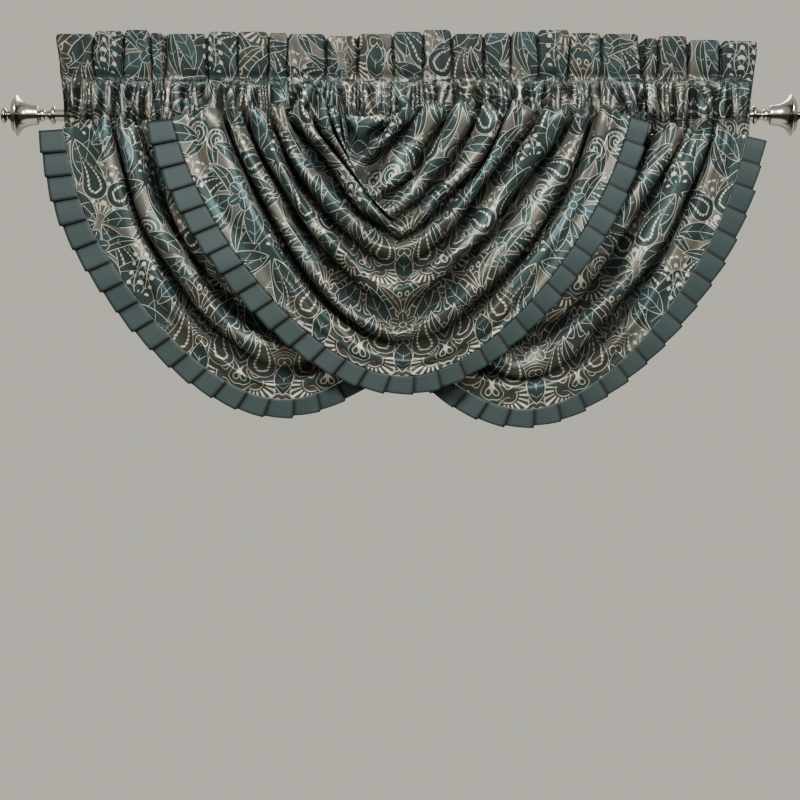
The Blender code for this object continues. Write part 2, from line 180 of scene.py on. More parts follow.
# %% The fold table
# Sizes are in mm. A lean is how far a fold's end slants inward, a round is how wide its bottom
# turns, the rise lifts the bottom's shoulders, and the rolls are its height in the arms and low.
FOLD_COLUMNS = (
    "left", "left_lean", "left_round", "low_x", "low_z", "right_round", "right", "right_lean",
    "rise", "arm_roll", "low_roll",
)
FOLDS = np.array((
    (-532, 0.22, 207, 0, -600, 207, 518, 0.22, 0.00, 12, 6),
    (-444, 0.25, 172, -5, -565, 195, 465, 0.30, 0.00, 15, 7),
    (-396, 0.40, 127, -12, -500, 138, 416, 0.45, 0.00, 15, 8),
    (-336, 0.35, 115, -9, -402, 87, 347, 0.68, 0.10, 14, 9),
    (-292, 0.45, 104, -18, -319, 104, 262, 0.50, 0.20, 14, 10),
    (-242, 0.75, 41, -12, -270, 69, 216, 0.60, 0.60, 13, 11),
    (-198, 0.70, 32, -41, -224, 64, 129, 0.48, 0.50, 12, 11),
    (-168, 0.50, 28, -76, -190, 32, 74, 0.75, 0.70, 11, 10),
    (-146, 0.30, 18, -112, -121, 28, -5, 0.90, 0.70, 9, 8),
    (-126, 0.10, 8, -94, -5, 8, -55, 0.10, 0.00, 3, 3),
), float)
TOP_LEVEL = len(FOLDS) - 1
SEAM_Y = -18.5 * MM  # where the swag is sewn to the band
SEAM_Z = -2 * MM
SEAM_DROP = 6 * MM  # the seam is this much lower at its two ends
LEAN_FORWARD = 26 * MM  # the centre swag leans this far into the room, over this height
LEAN_DEPTH = 400 * MM
HIDDEN_ROLL = 4 * MM  # rolls behind the centre valance are no higher
TUCK_NEAR = 60 * MM  # the sides sink behind the centre over this distance from its hem
SEAM_BLEND = 90 * MM
HEM_PROFILE = np.array(((0.0, 0.45), (0.4, 0.62), (0.7, 0.92), (1.0, 1.0)))  # level, height
# Where the side valances hang against the centre one, and how deep they lie beside it (shown),
# behind it (hidden) and in the flat strip behind it (strip), in mm.
VALANCES = {
    "left": dict(shift=-251, swing=-25, stretch=1.054, drop=-21, shown=-8, hidden=26, strip=25),
    "centre": dict(shift=0, swing=0, stretch=1.0, drop=0, shown=0, hidden=0, strip=0),
    "right": dict(shift=269, swing=8, stretch=1.060, drop=-40, shown=2, hidden=36, strip=34),
}
# The side bands leave the rod between these distances from the middle.
POCKET_SLIP = (549 * MM, 557 * MM)
HEADING_SLIP = (540 * MM, 558 * MM)
POCKET_LOW_Y = {"left": -8 * MM, "centre": 0.0, "right": 0.0}
PLEATS = 31


def fold_row(level):
    """The fold table read at levels between its rows: 0 is the hem."""
    level = np.asarray(level, float)
    rows = np.arange(len(FOLDS))
    return {name: spline(rows, FOLDS[:, i], level) for i, name in enumerate(FOLD_COLUMNS)}


def seam_height(x):
    """The z of the seam between the centre swag and its band."""
    return SEAM_Z - SEAM_DROP * (x / (530 * MM)) ** 2


def fold_place(level, share):
    """Points of the centre swag's front view, from the left seam (0) to the right seam (1)."""
    level, share = np.broadcast_arrays(np.asarray(level, float), np.asarray(share, float))
    row = fold_row(level)
    on_left = share <= 0.5
    end_x = np.where(on_left, row["left"], row["right"]) * MM
    lean = np.where(on_left, row["left_lean"], row["right_lean"])
    round_x = np.where(on_left, row["left_round"], row["right_round"]) * MM
    t = np.where(on_left, 2 * share, 2 - 2 * share)
    low_x, low_z = row["low_x"] * MM, row["low_z"] * MM
    top_z = seam_height(end_x)
    side = np.sign(low_x - end_x)
    handle = 0.42 * (top_z - low_z)

    def curve(a, b, c, d):
        return a * (1 - t) ** 3 + 3 * b * t * (1 - t) ** 2 + 3 * c * t * t * (1 - t) + d * t**3

    x = curve(end_x, end_x + handle * side * lean, low_x - side * round_x, low_x)
    z = curve(top_z, top_z - handle, low_z + round_x * row["rise"], low_z)
    return x, z


HEM_SHARES = np.linspace(0, 1, 241)
HEM_LINE = np.stack(fold_place(0, HEM_SHARES), axis=-1)
HEM_RUN = np.concatenate(([0], np.cumsum(np.hypot(*np.diff(HEM_LINE, axis=0).T))))


def hem_place(station):
    """Where a pleat begins, as a share of the way along a fold."""
    return np.interp(np.asarray(station) / PLEATS, HEM_RUN / HEM_RUN[-1], HEM_SHARES)


print("hem", round(float(HEM_RUN[-1]), 3), "m round the centre swag")

# %% [markdown]
# ## Rolls and valleys
#
# Seen from the side, each fold is a round roll with a narrow valley beside it. A sine wave would
# make roll and valley alike, so the roll is a slightly flattened circle instead, and the valley
# is what lies between two of them. At the bottom of the U the cloth is slack and the rolls turn
# softer. At the seam they start as round tips that stand a little over the pocket.

# %% The depth of a swag
VALLEY_EXTRA = 24 * MM  # the valleys of the thin sheet go this much deeper
CREST_EXTRA = 6 * MM  # and its crests stand this much prouder
ROLL_POWER = 2.4  # a circle has 2, and more is flatter on top
SEWN_HEIGHT = 0.35  # of a side valance's roll at its band, against its height further down
SIDE_VALLEY = 0.6  # the side valances' valleys, against the centre's
LOW_SPREAD = 0.15  # the bottom of the U reaches this share to each side
START_HEIGHT = 0.55  # of a roll at the seam, against its height further on
ROLL_SHARE = (0.90, 0.70)  # how much of a fold its round roll fills, at the seam and in the arms
SHOULDER = 0.014  # the rolls are full within this share of the seam
POCKET_COVER = (12 * MM, 42 * MM)  # valleys deepen once they are below the pocket


def roll(level, fills, soft):
    """How far a roll stands forward, and how deep in a valley the cloth is, both from 0 to 1."""
    hem = spline(HEM_PROFILE[:, 0], HEM_PROFILE[:, 1], np.clip(level, 0, 1))
    off = np.abs(level - np.round(level)) * 2
    off = np.where(level <= 1, 0, off)
    round_roll = np.sqrt(np.maximum(1 - np.minimum(off / fills, 1) ** ROLL_POWER, 0))
    soft_roll = 0.5 + 0.5 * np.cos(np.pi * off)
    crest = round_roll * (1 - soft) + soft_roll * soft
    valley = smooth(fills * 0.72, fills * 1.05, off) * (1 - 0.25 * soft)
    return np.where(level <= 1, hem, crest), valley


def roll_height(level, share):
    """The height of a roll, how low in the U it is, and 0 at the seam rising to 1 beside it."""
    row = fold_row(level)
    bottom = np.exp(-(((share - 0.5) / LOW_SPREAD) ** 2))
    height = row["arm_roll"] * (1 - bottom) + row["low_roll"] * bottom
    near_seam = smooth(0, SHOULDER, np.minimum(share, 1 - share))
    rising = START_HEIGHT + (1 - START_HEIGHT) * near_seam
    return height * MM * rising, bottom, near_seam


def inside_centre(x, z):
    """How far points lie inside the centre swag's hem line; less than 0 is outside."""
    flat_x, flat_z = np.ravel(x), np.ravel(z)
    near = np.full(flat_x.shape, 1e9)
    for (ax, az), (bx, bz) in zip(HEM_LINE[:-2:2], HEM_LINE[2::2]):
        wide, high = bx - ax, bz - az
        along = ((flat_x - ax) * wide + (flat_z - az) * high) / (wide**2 + high**2)
        along = np.clip(along, 0, 1)
        near = np.minimum(near, np.hypot(flat_x - ax - along * wide, flat_z - az - along * high))
    hem_z = np.interp(flat_x, HEM_LINE[:, 0], HEM_LINE[:, 1])
    within = (flat_x > HEM_LINE[0, 0]) & (flat_x < HEM_LINE[-1, 0]) & (flat_z > hem_z)
    return np.where(within, near, -near).reshape(np.shape(x))


def hung(side, x, z):
    """Moves points of the centre's pattern to where this side's valance hangs."""
    place = VALANCES[side]
    swing = place["swing"] * MM * smooth(0, 250 * MM, -z)
    return x + place["shift"] * MM + swing, z * place["stretch"] + place["drop"] * MM


def slipped(side, x, slip):
    """0 where a side band is on the rod, 1 where it lies behind the centre."""
    if side == "centre":
        return np.zeros(np.shape(x))
    return 1 - smooth(slip[0], slip[1], -x if side == "left" else x)


def depth(side, x, z, fold_z, height, crest, deeper):
    """The y of the middle of the cloth at places of its front view."""
    place = VALANCES[side]
    valley = VALLEY_EXTRA * deeper * (1 - crest)
    proud = CREST_EXTRA * deeper * crest
    if side == "centre":
        lean = LEAN_FORWARD * smooth(0, LEAN_DEPTH, SEAM_Z - z)
        return SEAM_Y - lean - height * crest + valley - proud
    behind = smooth(-TUCK_NEAR, TUCK_NEAR, inside_centre(x, z))
    draped = (place["shown"] * (1 - behind) + place["hidden"] * behind) * MM
    at_band = slipped(side, x, POCKET_SLIP)
    sewn = POCKET_LOW_Y[side] * (1 - at_band) + place["strip"] * MM * at_band
    below = smooth(0, SEAM_BLEND, -fold_z)
    base = sewn * (1 - below) + draped * below
    behind = np.maximum(behind, at_band * (1 - below))
    height = height * (1 - behind) + np.minimum(height, HIDDEN_ROLL) * behind
    free = (1 - behind) ** 2
    rise = SEWN_HEIGHT + (1 - SEWN_HEIGHT) * below
    return base - height * crest * rise + (valley * SIDE_VALLEY - proud) * free


print("valleys of the sheet are", round(VALLEY_EXTRA / MM), "mm deeper than those of the solid")

# %% [markdown]
# ## The swags
#
# Each swag could be simulated, but a simulation finds its own folds and these have to be the
# photographed ones. So the folds are placed, and the small things that a simulation would add
# are placed too: rolls that wander, gathers at the seam, and a few soft creases.

# %% Numbers of the swags
SWAG_ROWS_PER_FOLD = {"left": 18, "centre": 22, "right": 18}
SWAG_COLUMNS = {"left": 150, "centre": 200, "right": 150}
WANDER = 0.10  # how far a roll strays from its line, in folds
ROLL_UNEVEN = 0.22  # and how much its height varies
GATHER_HEIGHT = 5.0 * MM
GATHER_REACH = 0.07
GATHERS_PER_FOLD = 2.6
SEAM_WAVE = 5.0 * MM
TIP_REACH = 16 * MM  # the rolls start as round tips, this long
TIP_TUCK = 16 * MM  # and the end of a tip turns back this far
TIP_RISE = 31 * MM  # the tips stand this far above the seam, over this length
TIP_LENGTH = 60 * MM
TIP_BULGE = 6 * MM  # they are thickest at this distance from the seam, over this reach
BULGE_AT, BULGE_REACH = 22 * MM, 20 * MM
HIDDEN_CALM = 0.85  # the hidden halves lose this share of their tips and gathers
UNDER_CALM = 0.9  # and so do rolls under the centre's edging, at these distances from its hem
UNDER_EDGING = (-100 * MM, -40 * MM)
RIPPLE = 1.2 * MM  # the cloth between the folds is uneven by this much
SEAM_STATIONS = (0.06, 0.12, 0.19, 0.27, 0.36, 0.48, 0.62, 0.80, 1.0, 1.25)
DAMASK_MIDDLE = -0.47  # the damask part of the cloth lies round this height, in metres
DAMASK_HALF = (0.25, 0.25)
ZONE_EDGE = 0.36  # the number called zone is less than this in the damask part
SWAG_SEEDS = {"left": 11, "centre": 5, "right": 23}
# Soft creases: share and level at both ends, depth in mm, width in folds.
CREASES = (
    (0.10, 0.35, 0.30, 0.55, 2.2, 0.16),
    (0.40, 0.62, 0.60, 0.48, 2.0, 0.20),
    (0.62, 0.30, 0.86, 0.62, 2.4, 0.16),
    (0.36, 1.45, 0.62, 1.20, 2.0, 0.14),
    (0.30, 2.30, 0.52, 2.05, 2.0, 0.12),
    (0.50, 1.95, 0.70, 2.35, 2.2, 0.12),
    (0.34, 3.30, 0.60, 2.95, 1.8, 0.12),
    (0.20, 0.90, 0.44, 0.80, 1.8, 0.12),
)
print("soft creases on each swag:", len(CREASES))

# %% Small folds of the cloth
def creases(level, share):
    """The troughs of the soft creases, in metres."""
    total = np.zeros(np.shape(level))
    for share_a, level_a, share_b, level_b, deep, width in CREASES:
        t = np.clip((share - share_a) / (share_b - share_a), 0, 1)
        bend = 0.10 * np.sin(np.pi * t)
        off = level - (level_a + (level_b - level_a) * t + bend)
        ends = smooth(0, 0.25, t) * smooth(0, 0.25, 1 - t)
        total += deep * MM * ends * np.exp(-((off / width) ** 2))
    return total


def on_the_roll(level, fills, foot):
    """Moves the rows of a fold so that one of them always runs along the foot of its roll."""
    near = np.round(level)
    off = np.abs(level - near) * 2
    past = fills + (1 - fills) * (off - foot) / (1 - foot)
    moved = near + np.sign(level - near) * np.where(off <= foot, fills * off / foot, past) / 2
    return np.where(level <= 1, level, moved)


# %% Swag points
def swag_points(side, levels, shares, gather=1.0):
    """The middle of a swag's cloth over a grid of levels and shares."""
    level, share = np.meshgrid(levels, shares, indexing="ij")
    arm = smooth(0, 0.2, np.minimum(share, 1 - share))
    fills = ROLL_SHARE[0] * (1 - arm) + ROLL_SHARE[1] * arm
    half = SWAG_ROWS_PER_FOLD[side] // 2
    level = on_the_roll(level, fills, (half - 2) / half)
    height, bottom, near_seam = roll_height(level, share)
    seed = SWAG_SEEDS[side]
    edge_free = smooth(0, 0.9, level) * smooth(0, 0.6, TOP_LEVEL - level)
    stray = WANDER * uneven(seed, level * 0.9, share * 5.0) * edge_free * (0.4 + 0.6 * near_seam)
    x, z = fold_place(level - stray, share)
    far_x, far_z = hung(side, x, z)
    own = 1 - HIDDEN_CALM * slipped(side, far_x, POCKET_SLIP)
    calm = own
    if side != "centre":
        calm = own * (1 - UNDER_CALM * smooth(*UNDER_EDGING, inside_centre(far_x, far_z)))
    crest, valley = roll(level, fills, bottom)
    height = height * (1 + ROLL_UNEVEN * uneven(seed + 1, share * 3.0, level * 1.3) * edge_free)
    deeper = smooth(*POCKET_COVER, -z) * edge_free * (1 - 0.35 * bottom)
    y = depth(side, far_x, far_z, z, height, crest, deeper)
    seam_fade = np.exp(-((np.minimum(share, 1 - share) / GATHER_REACH) ** 2))
    gathers = np.abs(np.sin(np.pi * level * GATHERS_PER_FOLD + 2.0 * uneven(seed + 2, level * 1.1)))
    y = y - gather * GATHER_HEIGHT * gathers * seam_fade * edge_free * calm
    along = np.hypot(np.diff(far_x, axis=1), np.diff(far_z, axis=1))
    run = np.concatenate((np.zeros((len(levels), 1)), np.cumsum(along, axis=1)), axis=1)
    from_seam = np.minimum(run, run[:, -1:] - run)
    tip = np.clip(1 - from_seam / TIP_REACH, 0, 1)
    far_z = far_z + gather * SEAM_WAVE * (gathers - 0.4) * tip * own
    own_rise = 0.9 + 0.5 * uneven(seed + 4, level * 1.7, (share > 0.5) * 2.0)
    up = crest * edge_free * smooth(0, 2.2, TOP_LEVEL - level) * own
    far_z = far_z + TIP_RISE * own_rise * up * smooth(0, 1, 1 - from_seam / TIP_LENGTH)
    y = y - TIP_BULGE * up * calm * np.exp(-(((from_seam - BULGE_AT) / BULGE_REACH) ** 2))
    y = y + TIP_TUCK * (1 - np.sqrt(1 - tip**2)) * crest * edge_free * own
    # Painted shade: the number called valley darkens the valleys, the dips between the gathers at
    # the seam and the seam end of each tip
    valley = np.maximum(valley, 0.85 * (1 - smooth(0.05, 0.5, gathers)) * seam_fade)
    valley = np.maximum(valley, 0.9 * tip**6)
    y = y + creases(level, share)
    y = y - RIPPLE * uneven(seed + 3, share * 6.0, level * 2.0) * edge_free * near_seam
    from_damask = ZONE_EDGE * np.hypot(x / DAMASK_HALF[0], (z - DAMASK_MIDDLE) / DAMASK_HALF[1])
    shades = {"valley": valley * edge_free, "zone": from_damask}
    return np.stack((far_x, y, far_z), axis=-1), shades


print("damask part: within", DAMASK_HALF[0], "m of height", DAMASK_MIDDLE, "m")

# %% [markdown]
# ## Laying a swag flat
#
# A woven pattern must not stretch where the cloth bulges, so it is laid out on the flat cloth.
# Blender can unwrap a mesh, but the sheet is a clean grid whose cut size is wanted too. So the
# grid is laid down as a net of springs with the cloth's own lengths, which pulls itself flat:
# first a coarse net, then finer ones that start from it.

# %% Flat coordinates
NET_STEPS = ((10, 15, 500), (19, 31, 500), (46, 61, 260))  # rows, columns and turns of each net
NET_START = 1.7  # a net that shrinks into shape doesn't crumple, so it starts this much too large
NET_PULL = 0.24


def lengths(points):
    """Distances run along the rows and up the columns of a grid, and the cosine in each cell."""
    right, up = np.diff(points, axis=1), np.diff(points, axis=0)
    a, b = np.linalg.norm(right, axis=-1), np.linalg.norm(up, axis=-1)
    cosine = (right[:-1] * up[:, :-1]).sum(-1) / (a[:-1] * b[:, :-1])
    run = np.concatenate((np.zeros((len(points), 1)), np.cumsum(a, axis=1)), axis=1)
    rise = np.concatenate((np.zeros((1, points.shape[1])), np.cumsum(b, axis=0)), axis=0)
    return run, rise, cosine


def laid_flat(points, start, rows, columns, turns):
    """Lays a swag flat: a coarse net with the cloth's own lengths pulls itself into shape in the
    plane, and the fine points are read from between its knots."""
    run, rise, cosine = lengths(points)
    i = np.linspace(0, points.shape[0] - 1, rows).round().astype(int)
    j = np.linspace(0, points.shape[1] - 1, columns).round().astype(int)
    a = np.diff(run[i][:, j], axis=1)
    b = np.diff(rise[i][:, j], axis=0)
    mean = np.add.reduceat(np.add.reduceat(cosine, i[:-1], axis=0), j[:-1], axis=1)
    mean = mean / (np.diff(i)[:, None] * np.diff(j)[None, :])
    wide, tall = (a[1:] + a[:-1]) / 2, (b[:, 1:] + b[:, :-1]) / 2
    slant = 2 * wide * tall * mean
    net = start[i][:, j].copy()
    all_of, first, last = slice(None), slice(None, -1), slice(1, None)
    springs = (
        ((all_of, first), (all_of, last), a),
        ((first, all_of), (last, all_of), b),
        ((first, first), (last, last), np.sqrt(wide**2 + tall**2 + slant)),
        ((first, last), (last, first), np.sqrt(wide**2 + tall**2 - slant)),
    )
    for _ in range(turns):
        pull = np.zeros_like(net)
        for one, other, length in springs:
            gap = net[other] - net[one]
            now = np.linalg.norm(gap, axis=-1) + 1e-9
            step = 0.5 * gap * ((now - length) / now)[..., None]
            pull[one] += step
            pull[other] -= step
        net += NET_PULL * pull
    # How far each fine point is between two knots, measured along the cloth.
    row = np.clip(np.searchsorted(i, np.arange(points.shape[0]), "right") - 1, 0, rows - 2)
    column = np.clip(np.searchsorted(j, np.arange(points.shape[1]), "right") - 1, 0, columns - 2)
    p = (rise - rise[i[row]]) / (rise[i[row + 1]] - rise[i[row]])
    q = (run - run[:, j[column]]) / (run[:, j[column + 1]] - run[:, j[column]])
    p, q = p[..., None], q[..., None]
    row, column = row[:, None], column[None, :]
    under = net[row, column] * (1 - q) + net[row, column + 1] * q
    over = net[row + 1, column] * (1 - q) + net[row + 1, column + 1] * q
    return under * (1 - p) + over * p


def cloth_coordinates(points):
    """Flat coordinates of a swag in metres, from the lowest point of its hem."""
    flat = points[..., (0, 2)] * NET_START
    for rows, columns, turns in NET_STEPS:
        flat = laid_flat(points, flat, rows, columns, turns)
    lowest = flat[0, np.argmin(flat[0, :, 1])]
    return flat - lowest


def flat_size(flat):
    """The width, the height and the area of a sheet laid flat."""
    wide, tall = flat.reshape(-1, 2).max(axis=0) - flat.reshape(-1, 2).min(axis=0)
    a, b, c, d = flat[:-1, :-1], flat[:-1, 1:], flat[1:, 1:], flat[1:, :-1]
    one, two = c - a, d - b
    area = (one[..., 0] * two[..., 1] - one[..., 1] * two[..., 0]).sum() / 2
    return wide, tall, abs(float(area))


print("nets for each swag:", len(NET_STEPS))

# %% [markdown]
# ## A kit for drawing with nodes
#
# The jacquard could be a painted image, but a drawing made of nodes stays sharp at any size and
# is easy to change. Wiring Math nodes one by one makes long code that nobody can read, so a
# small class lets an output stand in a formula: `x * 2 + y` adds the two nodes and links them.
# On top of it come a few masks and colours, and a way to make groups.

# %% Node helpers
class Wire:
    """An output of a node that can stand in a formula. Each step of the sum adds a node."""

    def __init__(self, tree, socket):
        self.tree = tree
        self.socket = socket

    def math(self, operation, *others):
        return add(self.tree, "ShaderNodeMath", self, *others, operation=operation)

    def vector(self, operation, *others):
        return add(self.tree, "ShaderNodeVectorMath", self, *others, operation=operation)

    def length(self):
        return add(self.tree, "ShaderNodeVectorMath", self, operation="LENGTH", out="Value")

    def scaled(self, by):
        return self.vector("SCALE", (0, 0, 0), (0, 0, 0), by)

    def fit(self, scale, start):
        """Turns 0 to 1 into start to start + scale."""
        return self.math("MULTIPLY_ADD", scale, start)

    def __add__(self, other):
        return self.math("ADD", other)

    def __sub__(self, other):
        return self.math("SUBTRACT", other)

    def __rsub__(self, other):
        return add(self.tree, "ShaderNodeMath", other, self, operation="SUBTRACT")

    def __mul__(self, other):
        return self.math("MULTIPLY", other)

    def __truediv__(self, other):
        return self.math("DIVIDE", other)

    def __abs__(self):
        return self.math("ABSOLUTE")


def feed(value, socket):
    """Links a wire to an input, or writes a plain value into it."""
    if isinstance(value, Wire):
        value.tree.links.new(value.socket, socket)
    else:
        socket.default_value = value


def add(tree, kind, *values, out=0, **settings):
    """Adds a node, sets it up, feeds its inputs in order and gives back one of its outputs."""
    node = tree.nodes.new(kind)
    for name, value in settings.items():
        setattr(node, name, value)
    for value, socket in zip(values, node.inputs):
        feed(value, socket)
    return Wire(tree, node.outputs[out])


def most(one, other):
    """The larger of two values, which also joins two masks."""
    return one.math("MAXIMUM", other)


print("wires ready")


# %% Masks and colours
def join(x, y):
    """A place from its two coordinates."""
    return add(x.tree, "ShaderNodeCombineXYZ", x, y)


def split(vector):
    """The two coordinates of a place."""
    parts = vector.tree.nodes.new("ShaderNodeSeparateXYZ")
    feed(vector, parts.inputs[0])
    return Wire(vector.tree, parts.outputs[0]), Wire(vector.tree, parts.outputs[1])


def below(value, limit, soft):
    """A mask that is 1 where a value is under its limit, with a soft edge."""
    node = value.tree.nodes.new("ShaderNodeMapRange")
    node.interpolation_type = "SMOOTHSTEP"
    feed(value, node.inputs["Value"])
    ends = {"From Min": limit - soft, "From Max": limit + soft, "To Min": 1.0, "To Max": 0.0}
    for name, number in ends.items():
        node.inputs[name].default_value = number
    return Wire(value.tree, node.outputs["Result"])


def line(value, width, soft=0.4):
    """A mask of a line of this half width where a value passes through 0."""
    return below(abs(value) / width, 1.0, soft)


def paint(mask, under, over):
    """Lays a colour over another where the mask is 1."""
    node = mask.tree.nodes.new("ShaderNodeMix")
    node.data_type = "RGBA"
    for value, number in ((mask, 0), (under, 6), (over, 7)):  # 6 and 7 are its colour inputs
        feed(value, node.inputs[number])
    return Wire(mask.tree, node.outputs[2])


def noise(vector, scale, detail=1.0, name="Fac"):
    """A soft noise of about this many waves to a metre."""
    node = vector.tree.nodes.new("ShaderNodeTexNoise")
    node.inputs["Scale"].default_value = scale
    node.inputs["Detail"].default_value = detail
    feed(vector, node.inputs["Vector"])
    return Wire(vector.tree, node.outputs[name])


print("masks and colours ready")


# %% Groups of nodes
def new_group(name, inputs, outputs):
    """An empty node group: its tree, its inputs as wires and the sockets of its results."""
    tree = bpy.data.node_groups.new(name, "ShaderNodeTree")
    for way, sockets in (("INPUT", inputs), ("OUTPUT", outputs)):
        for label, kind in sockets.items():
            tree.interface.new_socket(label, in_out=way, socket_type=f"NodeSocket{kind}")
    given = tree.nodes.new("NodeGroupInput").outputs
    wires = [Wire(tree, socket) for socket in given[:len(inputs)]]
    return tree, wires, tree.nodes.new("NodeGroupOutput").inputs


def use(tree, group, *values):
    """Puts a group into a tree and gives back its results as wires."""
    node = tree.nodes.new("ShaderNodeGroup")
    node.node_tree = group
    for value, socket in zip(values, node.inputs):
        feed(value, socket)
    return [Wire(tree, socket) for socket in node.outputs]


def motif(name, draw, *sizes):
    """A group for one motif. Its place runs from about -0.5 to 0.5, and its drawing gives back
    a mask of the shape and one of the woven lines."""
    tree, (place, pen), results = new_group(
        name, {"Place": "Vector", "Pen": "Float"}, {"Shape": "Float", "Lines": "Float"}
    )
    for drawn, socket in zip(draw(place, pen, *split(place), *sizes), results):
        feed(drawn, socket)
    return tree


print("node helpers ready")

# %% [markdown]
# ## Leaves and paisleys
#
# A leaf is where two circles overlap, and a paisley is a circle with a bent tail. Each is drawn
# as a distance that is negative inside the shape, because the same distance also gives the
# outline and the rings inside it. Half a leaf's width, its bend and the gap between its veins
# are its sizes, so one drawing makes a broad leaf and a narrow one.

# %% Leaf and paisley
def draw_leaf(place, pen, x, y, half_width, bend, veins):
    x = x + y * y * bend
    side = abs(x)
    offset = (0.25 - half_width**2) / (2 * half_width)  # from the middle to the circle's centre
    edge = join(side + offset, y).length() - (offset + half_width)
    shape = below(edge, 0.0, 0.008)
    thin = pen * 0.75
    vein = line((y + side * -0.9).math("PINGPONG", veins), thin) * below(edge, -0.045, 0.01)
    return shape, most(line(edge, pen), most(line(x, thin) * shape, vein))


def draw_paisley(place, pen, x, y):
    tail = most((y + 0.12) / 0.66, 0.0)
    bent = x - tail * tail * 0.34
    taper = most(1.0 - tail.math("POWER", 1.3), 0.02)
    edge = join(bent / taper, (y + 0.12).math("MINIMUM", 0.0)).length() - 0.27
    shape = below(edge, 0.0, 0.01)
    rings = line(edge.math("PINGPONG", 0.07), pen * 0.7) * shape
    beads = below(((y + bent * 0.6) * 78.0).math("SINE"), 0.2, 0.3) * line(edge + 0.135, 0.024)
    return shape, most(most(line(edge, pen), rings), beads)


LEAF = motif("leaf", draw_leaf, 0.21, 0.35, 0.15)
BLADE = motif("narrow leaf", draw_leaf, 0.12, -0.5, 0.30)
PAISLEY = motif("paisley", draw_paisley)
print("motifs:", [group.name for group in bpy.data.node_groups])

# %% [markdown]
# ## Flower, swirl, berry sprig and striped fan
#
# These use the angle round their middle. The radius of a flower swings with the angle, so it
# has five petals. A swirl adds some of the radius to the angle, which winds it up. A sprig
# repeats one pair of berries along its stem, and a fan is a sector with stripes.

# %% Flower, swirl, sprig and fan
def draw_flower(place, pen, x, y):
    angle = y.math("ARCTAN2", x)
    reach = place.length()
    edge = reach - (abs((angle * 2.5).math("COSINE")) * 0.20 + 0.25)
    petal = line((angle * 5.0).math("SINE"), 0.12) * below(edge, -0.06, 0.02)
    petal = petal * (1.0 - below(reach, 0.15, 0.02))
    return below(edge, 0.0, 0.01), most(line(edge, pen), most(petal, line(reach - 0.11, pen)))


def draw_swirl(place, pen, x, y):
    reach = place.length()
    coil = (y.math("ARCTAN2", x) / (2 * math.pi) + reach * 3.4).math("FRACT") - 0.5
    disc = below(reach, 0.44, 0.01)
    return line(coil, 0.25, 0.16) * disc, line(abs(coil) - 0.27, 0.05) * disc


def draw_sprig(place, pen, x, y):
    stem = x - (y * 5.0).math("SINE") * 0.07
    inside = line(y, 0.46, 0.02)
    cell = ((y * 5.5).math("FRACT") - 0.5) / 5.5
    berry = join(abs(stem) - 0.10, cell).length()
    stalk = line(abs(stem) - (cell + 0.09), pen * 0.8) * below(abs(stem), 0.11, 0.01)
    drawn = most(line(stem, pen), most(stalk, line(berry - 0.034, pen)))
    return below(berry, 0.036, 0.01) * inside, drawn * inside


def draw_fan(place, pen, x, y):
    angle = x.math("ARCTAN2", y)
    reach = place.length()
    within = line(angle, 1.15, 0.03)
    edge = reach - (abs((angle * 5.2).math("SINE")) * 0.05 + 0.40)
    shape = below(edge, 0.0, 0.01) * within * (1.0 - below(reach, 0.08, 0.01))
    stripes = below((angle * 20.8).math("SINE"), -0.3, 0.3) * (1.0 - below(reach, 0.22, 0.01))
    drawn = most(stripes, most(line(reach - 0.18, pen), line(edge, pen)))
    return shape, drawn * (within * below(edge, 0.02, 0.01))


FLOWER = motif("flower", draw_flower)
SWIRL = motif("swirl", draw_swirl)
SPRIG = motif("berry sprig", draw_sprig)
FAN = motif("striped fan", draw_fan)
print("motifs:", [group.name for group in bpy.data.node_groups])

# %% [markdown]
# ## One repeat of the cloth
#
# A loom weaves the same repeat again and again, mirrored about its middle. So the pattern folds
# the cloth's coordinates into one tile and places the motifs in it by a short table: which
# motif, where in metres, how far it is turned, how long it is and which yarns it shows. Yarns
# are kept as a colour code until the end: red for teal, green for ivory, blue for the bright
# teal accent, and black for the ground.

# %% Tables of the motifs
PEN = 0.0006  # half the width of a woven line, in metres
FINE_PEN = 0.0007  # and in the damask, whose lines are a little bolder
TEAL, IVORY, ACCENT, GROUND = (1, 0, 0, 1), (0, 1, 0, 1), (0, 0, 1, 1), (0, 0, 0, 1)
FLORAL_TILE = (0.250, 0.310)
FLORAL = (
    (LEAF, (0.086, 0.012), 160, 0.215, TEAL, IVORY),
    (SWIRL, (0.098, -0.112), 20, 0.070, ACCENT, IVORY),
    (SPRIG, (0.112, 0.075), 12, 0.120, IVORY, IVORY),
    (FAN, (0.000, -0.150), 0, 0.080, GROUND, IVORY),
    (BLADE, (0.052, 0.120), -58, 0.105, TEAL, IVORY),
    (LEAF, (0.070, -0.042), -62, 0.120, TEAL, IVORY),
    (LEAF, (0.052, -0.132), 108, 0.105, TEAL, IVORY),
    (LEAF, (0.050, 0.052), 38, 0.105, ACCENT, IVORY),
    (PAISLEY, (0.036, -0.070), -24, 0.110, TEAL, IVORY),
    (BLADE, (0.018, 0.020), 14, 0.110, TEAL, IVORY),
    (FLOWER, (0.000, 0.098), 90, 0.082, ACCENT, IVORY),
)
FILLING = FLORAL[2:7] + FLORAL[8:10]  # a second layer under the first, half a tile away
DAMASK_TILE = (0.200, 0.270)
DAMASK = (
    (FAN, (0.066, -0.095), 140, 0.120, GROUND, IVORY),
    (LEAF, (0.062, 0.062), -32, 0.120, TEAL, IVORY),
    (BLADE, (0.085, -0.015), 28, 0.120, TEAL, IVORY),
    (PAISLEY, (0.046, -0.030), 22, 0.120, GROUND, IVORY),
    (BLADE, (0.026, 0.100), -40, 0.100, GROUND, IVORY),
    (LEAF, (0.000, -0.078), 0, 0.105, TEAL, IVORY),
    (FLOWER, (0.000, 0.030), 90, 0.075, GROUND, IVORY),
)
print("motifs in the floral part:", len(FLORAL), "and in the damask:", len(DAMASK))

